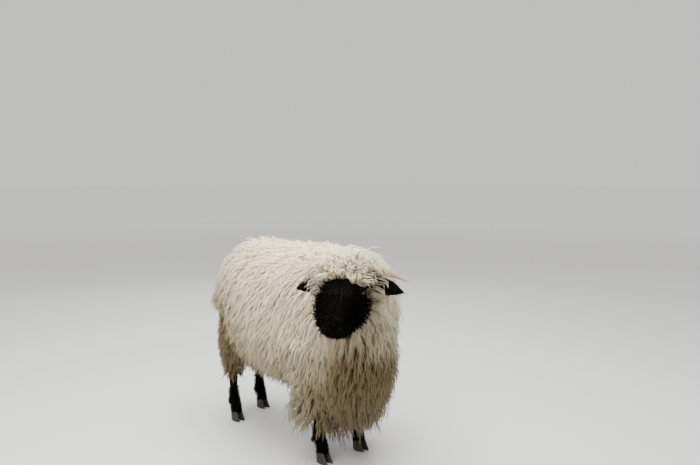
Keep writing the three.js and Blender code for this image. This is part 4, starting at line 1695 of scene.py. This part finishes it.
class HeadCoat:
    """Topknot, cheeks and throat in white wool, the black face, and the hair of the ears."""

    # Distances between tufts and between locks, length, half width, wave and its period
    hood_growth = Growth(
        0.0034, 0.0100, 0.078, 0.0020, 0.0026, 0.019, steps=8, bend=0.76, unruly=0.40, strays=0.01
    )
    muzzle_growth = Growth(
        0.0024, 0.009, 0.009, 0.0009, 0.0002, 0.020,
        gather=0.2, steps=3, bend=0.4, unruly=0.10, strays=0.0, fuzz=0.0005,
    )
    face_growth = Growth(0.0042, 0.011, 0.046, 0.0013, 0.0014, 0.020, steps=5, bend=0.8, unruly=0.16)
    ear_growth = Growth(
        0.0040, 0.010, 0.018, 0.0011, 0.0006, 0.020, gather=0.3, steps=4, bend=0.5, fuzz=0.001
    )
    # Depth of the white wool at distances from the poll towards the nose
    hood_at = (-0.030, 0.015, 0.060, 0.096, 0.130)
    hood_deep = (0.062, 0.066, 0.060, 0.036, 0.030)
    # How far the black hair stands off the skull at distances from the poll, beside and on top of the face
    face_at = (0.05, 0.10, 0.14, 0.18, 0.215, 0.235, 0.25)
    face_deep = (0.032, 0.032, 0.032, 0.028, 0.016, 0.006, 0.002)
    crown_cut = 0.26  # how much less deep the wool is on the crown than at the cheeks
    bridge_share = 0.42
    horn_root = (0.048, -0.018, 0.040)
    horn_cover = 0.034  # extra wool round the root of each horn
    forelock = (-0.45, -0.40, -0.80)
    cheek_fall = (0.05, 0.02, -1.0)
    capsule = (0.20, 0.07)  # length and radius of the form that the head is unwrapped from
    lips_up = -0.034

    def __init__(self, coat: Coat, skin: Skin, markings: Markings) -> None:
        """Sorts the head's skin for combing."""
        self.coat = coat
        self.skin = skin
        self.head = skin.head
        self.markings = markings
        face = skin.face
        self.comb = Comb(face, face.normals(12), np.zeros(len(face.verts)))

    def unwrap(self, points: Array) -> Array:
        """Unwrap of the head as a capsule round the line from the poll to the nose."""
        h = self.head.into(points) + (0, 0, Skull.axis_drop)
        straight, radius = self.capsule
        axial = np.clip(-h[:, 1], 0, straight)
        beyond = -h[:, 1] - axial
        radial = np.hypot(h[:, 0], h[:, 2])
        run = radius * math.pi / 2 + axial + radius * np.arctan2(beyond, radial)
        u = np.arctan2(h[:, 0], h[:, 2]) / ROUND + 0.5
        return np.stack([u, run / (straight + radius * math.pi)], 1)

    def hood_depth(self, points: Array) -> Array:
        """Depth of the white wool on the head."""
        h = self.head.into(points)
        crown = 1 - self.crown_cut * eased(0.01, 0.06, h[:, 2])
        off_horn = away(h * (0, 1, 1) + np.abs(h) * (1, 0, 0), self.horn_root)
        cover = self.horn_cover * (1 - eased(0.015, 0.050, off_horn))
        return np.interp(-h[:, 1], self.hood_at, self.hood_deep) * crown + cover

    def hood_length(self, points: Array, normals: Array) -> Array:
        """Shorter round the face and on the crown, longer on cheeks and throat."""
        low = 1 - eased(-0.06, 0.04, self.head.into(points)[:, 2])
        return np.clip(self.hood_depth(points) / 0.062, 0.4, 1.3) * (0.85 + 0.35 * low)

    def hood_fall(self, points: Array, normals: Array) -> Array:
        """Forwards over the brow on top, and down the cheeks."""
        h = self.head.into(points)
        top = eased(0.0, 0.05, h[:, 2])[:, None]
        aside = (eased(0.025, 0.050, np.abs(h[:, 0])) * eased(-0.060, -0.030, h[:, 1]))[:, None] * top
        across, ahead = self.head.axes()[:, 0], -self.head.axes()[:, 1]
        sideways = 0.45 * np.sign(h[:, :1]) * across + 0.40 * ahead + (0, 0, -0.9)
        cheeks = (np.array(self.cheek_fall) + 0.35 * normals) * (1 - top)
        return np.array(self.forelock) * (top - aside) + sideways * aside + cheeks

    def face_depth(self, points: Array) -> Array:
        """How far the black hair stands off: most beside the jaws, least on nose and eyelids."""
        h = self.head.into(points)
        deep = np.interp(-h[:, 1], self.face_at, self.face_deep) * (1 - 0.35 * eased(0.0, 0.04, h[:, 0]))
        bridge = eased(0.015, 0.050, h[:, 2] - 0.10 * (-h[:, 1] - 0.25))
        bridge = bridge * (1 - eased(0.035, 0.06, np.abs(h[:, 0])))
        deep = deep * (1 - (1 - self.bridge_share) * bridge)
        for side in SIDE_NAMES:
            off = away(h, self.skin.skull.eye(side))
            deep = deep * (0.25 + 0.75 * eased(0.018, 0.045, off))
        return deep

    def face_length(self, points: Array, normals: Array) -> Array:
        """Longest where the hair stands off most."""
        return np.clip(self.face_depth(points) / 0.032, 0.12, 1)

    def face_fall(self, points: Array, normals: Array) -> Array:
        """Back from the nose, outwards and a little down."""
        back = self.head.axes() @ np.array((0, 1, 0))
        return back * 0.6 + normals * 0.55 + (0, 0, -0.35)

    def grow(self) -> None:
        """The wool and hair of the head."""
        shell = self.skin.face
        centres = shell.verts[shell.tris].mean(1)
        h = self.head.into(centres)
        black = self.markings.black(centres)
        skull = self.skin.skull
        clear = np.ones(len(centres), dtype=bool)
        nostrils = np.ones(len(centres), dtype=bool)
        for side in SIDE_NAMES:
            clear &= away(h, skull.eye(side)) > skull.eye_radius + 0.0045
            nostrils &= away(h, skull.nostril(side)) > 0.012
        nose = -skull.length
        bare = (h[:, 1] < nose + 0.010) & (h[:, 2] > -0.030)
        mouth = (h[:, 1] < nose + 0.05) & (np.abs(h[:, 2] - self.lips_up) < 0.006)
        self.coat.grow(
            Plot(
                "fleece_head", shell, self.comb, ~black, self.hood_growth,
                self.hood_depth, self.hood_length, self.hood_fall, self.unwrap,
            )
        )
        self.coat.grow(
            Plot(
                "face_hair", shell, self.comb, black & clear & ~bare & ~mouth, self.face_growth,
                self.face_depth, self.face_length, self.face_fall, self.unwrap, black=True,
            )
        )
        lips = (h[:, 1] < nose + 0.05) & (np.abs(h[:, 2] - self.lips_up) < 0.0035)
        front = (h[:, 1] < nose + 0.085) & nostrils & ~lips
        self.coat.grow(
            Plot(
                "muzzle_hair", shell, self.comb, black & front, self.muzzle_growth,
                same(0.0022), same(1.0), self.face_fall, self.unwrap, black=True,
            )
        )

    def grow_ears(self) -> None:
        """Short black hair over both faces of each ear, towards its tip."""
        for name, side in SIDES.items():
            shell = self.skin.ears[name]
            form = self.skin.ear
            way = self.head.axes() @ form.axes(side)[0]
            root = self.head.out(np.array(form.root) * (side, 1, 1))

            def unwrap(points: Array, side: int = side, root: Array = root) -> Array:
                """Both faces of the ear side by side."""
                local = (points - root) @ self.head.axes() @ form.axes(side).T
                behind = (local[:, 2] < form.width * 0.12).astype(float)
                u = (local[:, 1] / form.width + 0.5) * 0.5 + 0.5 * behind
                return np.stack([u, local[:, 0] / form.length], 1)

            comb = Comb(shell, shell.normals(1), np.full(len(shell.verts), 0.003))
            self.coat.grow(
                Plot(
                    f"ear_hair_{name}", shell, comb, np.ones(len(shell.tris), dtype=bool), self.ear_growth,
                    same(0.0035), same(1.0),
                    lambda points, normals, way=way: np.tile(way, (len(points), 1)) + 0.25 * normals,
                    unwrap, black=True,
                )
            )


class NodeSheet:
    """A Geometry Nodes tree under construction, with named inputs."""

    def __init__(self, name: str) -> None:
        """Starts a tree with a mesh in and a mesh out."""
        self.tree = bpy.data.node_groups.new(name, "GeometryNodeTree")
        for way in ("INPUT", "OUTPUT"):
            self.tree.interface.new_socket(name="Geometry", in_out=way, socket_type="NodeSocketGeometry")
        self.source = self.tree.nodes.new("NodeGroupInput")
        self.values: dict[str, object] = {}

    def size(self, name: str, value: object, kind: str = "NodeSocketFloat") -> NodeSocket:
        """Adds a named input.

        Args:
            name: What the input sets.
            value: Its value on this piece.
            kind: The type of socket.

        Returns:
            The input's socket inside the tree.
        """
        socket = self.tree.interface.new_socket(name=name, in_out="INPUT", socket_type=kind)
        self.values[socket.identifier] = value
        return self.source.outputs[name]

    def add(self, kind: str, inputs: dict[str, object] | None = None, **settings: object) -> Node:
        """Adds a node, sets its properties and links or sets its inputs.

        Args:
            kind: Blender's name for the type of node.
            inputs: Values or sockets by the input's name or number.
            settings: Properties by name.

        Returns:
            The node.
        """
        node = self.tree.nodes.new(kind)
        for name, value in settings.items():
            setattr(node, name, value)
        for name, value in (inputs or {}).items():
            if isinstance(value, NodeSocket):
                self.tree.links.new(value, node.inputs[name])
            else:
                node.inputs[name].default_value = value
        return node

    def sum(self, operation: str, *values: object) -> NodeSocket:
        """A mathematical operation on values or sockets."""
        return self.add("ShaderNodeMath", dict(enumerate(values)), operation=operation).outputs[0]

    def end(self, geometry: NodeSocket, material: Material) -> None:
        """Realizes instances, sets the material and closes the tree."""
        real = self.add("GeometryNodeRealizeInstances", {"Geometry": geometry})
        chosen = self.size("Finish", material, "NodeSocketMaterial")
        dressed = self.add("GeometryNodeSetMaterial", {"Geometry": real.outputs[0], "Material": chosen})
        self.add("NodeGroupOutput", {0: dressed.outputs[0]})

    def apply(self, rough: Object, name: str) -> Object:
        """Runs the tree on an object and keeps the result as a plain mesh.

        Args:
            rough: The object that carries the input; it is removed.
            name: Name of the result.

        Returns:
            The new object.
        """
        grown = rough.modifiers.new(self.tree.name, "NODES")
        grown.node_group = self.tree
        for identifier, value in self.values.items():
            grown[identifier] = value
        data = baked(rough)
        data.name = name
        return put(name, data)


@dataclass(frozen=True)
class Horn:
    """A flattened horn that sweeps out sideways, a little back and down, and turns up at its tip."""

    side: int
    wide: float = 0.017
    thick: float = 0.012
    taper: float = 0.86
    taper_power: float = 1.3
    shows: float = 0.80  # share of the length that the wool covers
    ridges: float = 17.0
    ridge_depth: float = 0.055
    crowding: float = 0.85  # below 1 the ridges stand closer at the root
    rings: int = 150
    sides: int = 28
    knots: tuple[Triple, ...] = (
        (0.020, -0.030, 0.040),
        (0.056, -0.018, 0.052),
        (0.104, 0.004, 0.044),
        (0.152, 0.022, 0.016),
        (0.198, 0.032, -0.012),
    )

    def bars(self) -> Array:
        """Points of the horn's outer part, in the head's frame."""
        return catmull_rom(np.array(self.knots), np.linspace(self.shows, 1, 40)) * (self.side, 1, 1)

    def build(self, bench: Workbench, head: HeadFrame, material: Material) -> None:
        """Sweeps the ridged horn along its path with Geometry Nodes.

        Args:
            bench: Places the piece.
            head: The head's frame.
            material: The horn's finish.
        """
        name = SIDE_NAMES[self.side]
        path = head.out(catmull_rom(np.array(self.knots), np.linspace(0, 1, 60)) * (self.side, 1, 1))
        rough = wires("horn_path", (path + bench.origin)[None])
        tree = NodeSheet("ridged_horn")
        curve = tree.add("GeometryNodeMeshToCurve", {"Mesh": tree.source.outputs["Geometry"]}).outputs[0]
        rings = tree.size("Rings", self.rings, "NodeSocketInt")
        curve = tree.add("GeometryNodeResampleCurve", {"Curve": curve, "Count": rings}).outputs[0]
        curve = tree.add("GeometryNodeSetCurveNormal", {"Curve": curve}, mode="Z_UP").outputs[0]
        along = tree.add("GeometryNodeSplineParameter").outputs["Factor"]
        store = {"Geometry": curve, "Name": "Along", "Value": along}
        curve = tree.add("GeometryNodeStoreNamedAttribute", store, domain="POINT").outputs[0]
        worn = tree.sum("POWER", along, tree.size("Taper Power", self.taper_power))
        worn = tree.sum("MULTIPLY", worn, tree.size("Taper", self.taper))
        slim = tree.sum("SUBTRACT", 1.0, worn)
        crowded = tree.sum("POWER", along, self.crowding)
        wave = tree.sum("SINE", tree.sum("MULTIPLY", crowded, tree.size("Ridges", self.ridges * ROUND)))
        ridge = tree.sum("MULTIPLY", wave, tree.sum("SUBTRACT", 1.0, along))
        ridge = tree.sum("MULTIPLY", ridge, tree.size("Ridge Depth", self.ridge_depth))
        scale = tree.sum("MULTIPLY", slim, tree.sum("ADD", 1.0, ridge))
        ring = tree.add("GeometryNodeCurvePrimitiveCircle", {"Resolution": self.sides}).outputs[0]
        flat = {0: tree.size("Thick", self.thick), 1: tree.size("Wide", self.wide), 2: 1.0}
        section = tree.add("ShaderNodeCombineXYZ", flat)
        ring = tree.add("GeometryNodeTransform", {"Geometry": ring, "Scale": section.outputs[0]}).outputs[0]
        sweep = {"Curve": curve, "Profile Curve": ring, "Scale": scale, "Fill Caps": True}
        horn = tree.add("GeometryNodeCurveToMesh", sweep).outputs[0]
        smooth = tree.add("GeometryNodeSetShadeSmooth", {"Geometry": horn}).outputs[0]
        tree.end(smooth, material)
        bench.fit(tree.apply(rough, f"ridged_horn_{name}"), material, "horn", (f"horn_{name}",))


@dataclass(frozen=True)
class Bristles:
    """Single stiff hairs of the head: lashes over the eyes and whiskers on lips and chin."""

    thick: float = 0.00035
    taper: float = 0.85
    points: int = 8
    sides: int = 5
    lashes: int = 24
    lash_length: float = 0.012
    whiskers: int = 46
    whisker_length: float = 0.030

    def lash_paths(self, skull: Skull, side: int) -> Array:
        """Curved lashes along an upper lid, by lash and point."""
        forward, corner, height = skull.eye_axes(side)
        across = np.linspace(-0.75, 0.75, self.lashes)[:, None]
        rise = 0.62 * np.sqrt(1 - across**2)
        spread = unit(forward + corner * across + height * rise)
        base = skull.eye(side) + (skull.eye_radius + skull.lid_thick) * spread
        out = unit(forward + 0.6 * corner * across + 0.25 * height) * self.lash_length
        s = np.linspace(0, 1, self.points)[None, :, None]
        return base[:, None] + out[:, None] * s + height * (0.5 * self.lash_length) * s**2

    def whisker_paths(self, skull: Skull, places: Array, normals: Array) -> Array:
        """Drooping whiskers on the lips and the chin, by whisker and point.

        Args:
            skull: Says how far the nose reaches.
            places: Vertices of the head in its own frame.
            normals: Their outward normals.

        Returns:
            Points of the whiskers.
        """
        rng = np.random.default_rng(5)
        ahead = -skull.length - places[:, 1]
        lips = (ahead > -0.062) & (ahead < -0.008)
        lips &= (np.abs(places[:, 0]) > 0.016) & (places[:, 2] < -0.014)
        picks = rng.choice(np.nonzero(lips)[0], self.whiskers, replace=False)
        long = self.whisker_length * rng.uniform(0.5, 1.1, (self.whiskers, 1, 1))
        s = np.linspace(0, 1, self.points)[None, :, None]
        droop = np.array((0, 0.10, -0.35))
        return places[picks][:, None] + normals[picks][:, None] * long * s + droop * long * s**2

    def build(self, bench: Workbench, coat: HeadCoat, skin: Skin, material: Material) -> None:
        """Sweeps every bristle with Geometry Nodes.

        Args:
            bench: Places the piece.
            coat: Unwraps the head.
            skin: The skin that the bristles stand on.
            material: Their finish.
        """
        head, skull = skin.head, skin.skull
        places = head.into(skin.face.verts)
        normals = skin.face.normals(2) @ head.axes()
        paths = [self.lash_paths(skull, side) for side in SIDE_NAMES]
        paths.append(self.whisker_paths(skull, places, normals))
        rough = wires("bristle_paths", head.out(np.concatenate(paths)) + bench.origin)
        tree = NodeSheet("bristles")
        curve = tree.add("GeometryNodeMeshToCurve", {"Mesh": tree.source.outputs["Geometry"]}).outputs[0]
        along = tree.add("GeometryNodeSplineParameter").outputs["Factor"]
        slim = tree.sum("SUBTRACT", 1.0, tree.sum("MULTIPLY", along, tree.size("Taper", self.taper)))
        round_hair = {"Resolution": self.sides, "Radius": tree.size("Thickness", self.thick)}
        ring = tree.add("GeometryNodeCurvePrimitiveCircle", round_hair).outputs[0]
        sweep = {"Curve": curve, "Profile Curve": ring, "Scale": slim, "Fill Caps": True}
        hairs = tree.add("GeometryNodeCurveToMesh", sweep).outputs[0]
        tree.end(tree.add("GeometryNodeSetShadeSmooth", {"Geometry": hairs}).outputs[0], material)
        made = tree.apply(rough, "lashes_and_whiskers")
        verts = read(made.data.vertices, "co", 3) - bench.origin
        corners = read(made.data.loops, "vertex_index", 1, np.int32)
        bench.unwrap(made, "OFBake", coat.unwrap(verts), corners)
        bench.paint(made, same(coat.coat.wool.black)(verts))
        bench.fit(made, material, "black_coat")


@dataclass(frozen=True)
class Eye:
    """An eyeball with a bulging cornea, a brown iris and a level slit of a pupil."""

    side: int
    detail: int = 96
    iris: float = 0.72  # sine of the iris's half angle
    pupil: tuple[float, float] = (0.36, 0.15)
    cornea: float = 0.0012
    iris_colour: Triple = (0.024, 0.012, 0.005)
    limb_colour: Triple = (0.006, 0.004, 0.003)
    white_colour: Triple = (0.008, 0.006, 0.005)
    pupil_colour: Triple = (0.002, 0.002, 0.002)

    def build(self, bench: Workbench, head: HeadFrame, skull: Skull, material: Material) -> None:
        """Makes and paints the ball.

        Args:
            bench: Places the piece.
            head: The head's frame.
            skull: Says where the eye sits.
            material: The eye's finish.
        """
        name = SIDE_NAMES[self.side]
        r = skull.eye_radius
        shell = ball((0, 0, 0), (r, r, r), self.detail)
        look = unit(shell.verts)
        forward, corner, height = skull.eye_axes(self.side)
        front, level, rise = look @ forward, look @ corner, look @ height
        off = np.hypot(level, rise)
        shell.verts += look * (self.cornea * eased(self.iris, self.iris - 0.25, off) * (front > 0))[:, None]
        inside = ((np.abs(level) / self.pupil[0]) ** 2.6 + (np.abs(rise) / self.pupil[1]) ** 2.6) < 1
        rays = 1 + 0.25 * np.sin(np.arctan2(rise, level) * 34) * eased(0.2, 0.5, off)
        limb = eased(self.iris - 0.08, self.iris, off)[:, None]
        colour = np.array(self.iris_colour) * rays[:, None] * (1 - limb) + np.array(self.limb_colour) * limb
        colour = np.where(((off > self.iris + 0.04) | (front < 0))[:, None], self.white_colour, colour)
        colour = np.where((inside & (front > 0))[:, None], self.pupil_colour, colour)
        placed = Shell(head.out(shell.verts + skull.eye(self.side)), shell.tris)
        made = bench.mesh(f"eyeball_{name}", placed)
        bench.paint(made, colour)
        bench.fit(made, material, "eye", (f"eye_{name}",))


@dataclass(frozen=True)
class Claw:
    """One claw of a cloven foot: a horn wall that is flat towards its twin and pointed in front."""

    end: str
    side: int
    toe: str
    long: float = 0.031
    wide: float = 0.0124
    rings: int = 16
    sides: int = 40
    # The small claw behind the fetlock
    spur_height: float = 0.078
    spur_behind: float = 0.022
    spur_behind_hock: float = 0.036
    spur_size: Triple = (0.0060, 0.0075, 0.0105)

    def build(self, bench: Workbench, animal: Animal, material: Material) -> None:
        """Makes the claw over its solid.

        Args:
            bench: Places the piece.
            animal: Says where the foot stands.
            material: The claw's finish.
        """
        out = self.side if self.toe == "outer" else -self.side
        x, y = animal.foot(self.end, self.side)
        x += out * animal.claw_apart
        angle = np.linspace(0, ROUND, self.sides, endpoint=False)
        loops = []
        for share in np.linspace(0, 1, self.rings):
            rounded = math.sqrt(max(0.0, 1 - (1 - min(1.0, share / 0.08)) ** 2)) * 0.06 + 0.94
            brim = 1 + 0.05 * math.exp(-(((share - 0.90) / 0.05) ** 2))
            long = (self.long - 0.010 * share) * rounded * brim
            wide = (self.wide - 0.0022 * share) * rounded * brim
            shift = 0.014 * (1 - share)
            point = 1 - 0.35 * eased(0.1, 1.0, -np.sin(angle))
            flat = np.where(np.cos(angle) * out < 0, 0.78, 1.0)
            px = x + wide * np.cos(angle) * point * flat
            py = y - shift + long * np.sin(angle)
            loops.append(np.stack([px, py, np.full(self.sides, share * animal.claw_height)], 1))
        rings = np.array(loops)
        wall = skin_over(rings, rings[:1].mean(1), rings[-1:].mean(1))
        behind = animal.pastern_reach + self.spur_behind if self.end == "front" else self.spur_behind_hock
        spur = ball((x + out * 0.001, y + behind, self.spur_height), self.spur_size, 20)
        shell = joined([wall, spur])
        side = SIDE_NAMES[self.side]
        made = bench.mesh(f"horn_claw_{self.end}_{side}_{self.toe}", shell)
        bench.fit(made, material, "claw", (f"claw_{self.end}_{side}_{self.toe}",))


def main() -> None:
    """Builds every sub-assembly in order."""
    logging.basicConfig(level=logging.INFO, format="%(name)s %(message)s")
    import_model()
    animal = Animal()
    head = HeadFrame()
    bench = Workbench(animal)
    Studio(bench).build()
    skin = Skin(animal, head, Skull(), EarForm())
    skin.build()
    markings = Markings(head)
    wool = Wool(head)
    shell = skin.whole()
    made = bench.mesh("skin", shell)
    black = markings.black(shell.verts).astype(float)
    black[len(shell.verts) - sum(len(e.verts) for e in skin.ears.values()) :] = 1
    # The skin is painted as wool near its root, in painted shade
    share, tone = (np.full(len(shell.verts), value) for value in (SKIN_SHARE, SKIN_SHADE_TONE))
    bench.paint(made, wool.tint(shell.verts, black, share, tone))
    flesh = ["head", "neck", "torso", "tail"]
    flesh += [f"{part}_{side}" for part in ("leg_front", "leg_hind", "ear") for side in SIDES]
    bench.fit(made, SkinFinish().build(), "skin", tuple(flesh))
    bars = [bar for side in SIDE_NAMES for bar in (skin.ear.bars(side), Horn(side).bars())]
    coat = Coat(bench, wool, head.out(np.vstack(bars)))
    body_coat = BodyCoat(coat, skin, markings)
    body_coat.grow()
    body_coat.grow_boots()
    head_coat = HeadCoat(coat, skin, markings)
    head_coat.grow()
    head_coat.grow_ears()
    Bristles().build(bench, head_coat, skin, coat.black_finish)
    horn_finish, eye_finish, claw_finish = HornFinish().build(), EyeFinish().build(), ClawFinish().build()
    for side in SIDE_NAMES:
        Horn(side).build(bench, head, horn_finish)
        Eye(side).build(bench, head, skin.skull, eye_finish)
        for end in ("front", "hind"):
            for toe in ("outer", "inner"):
                Claw(end, side, toe).build(bench, animal, claw_finish)


if __name__ == "__main__":
    main()
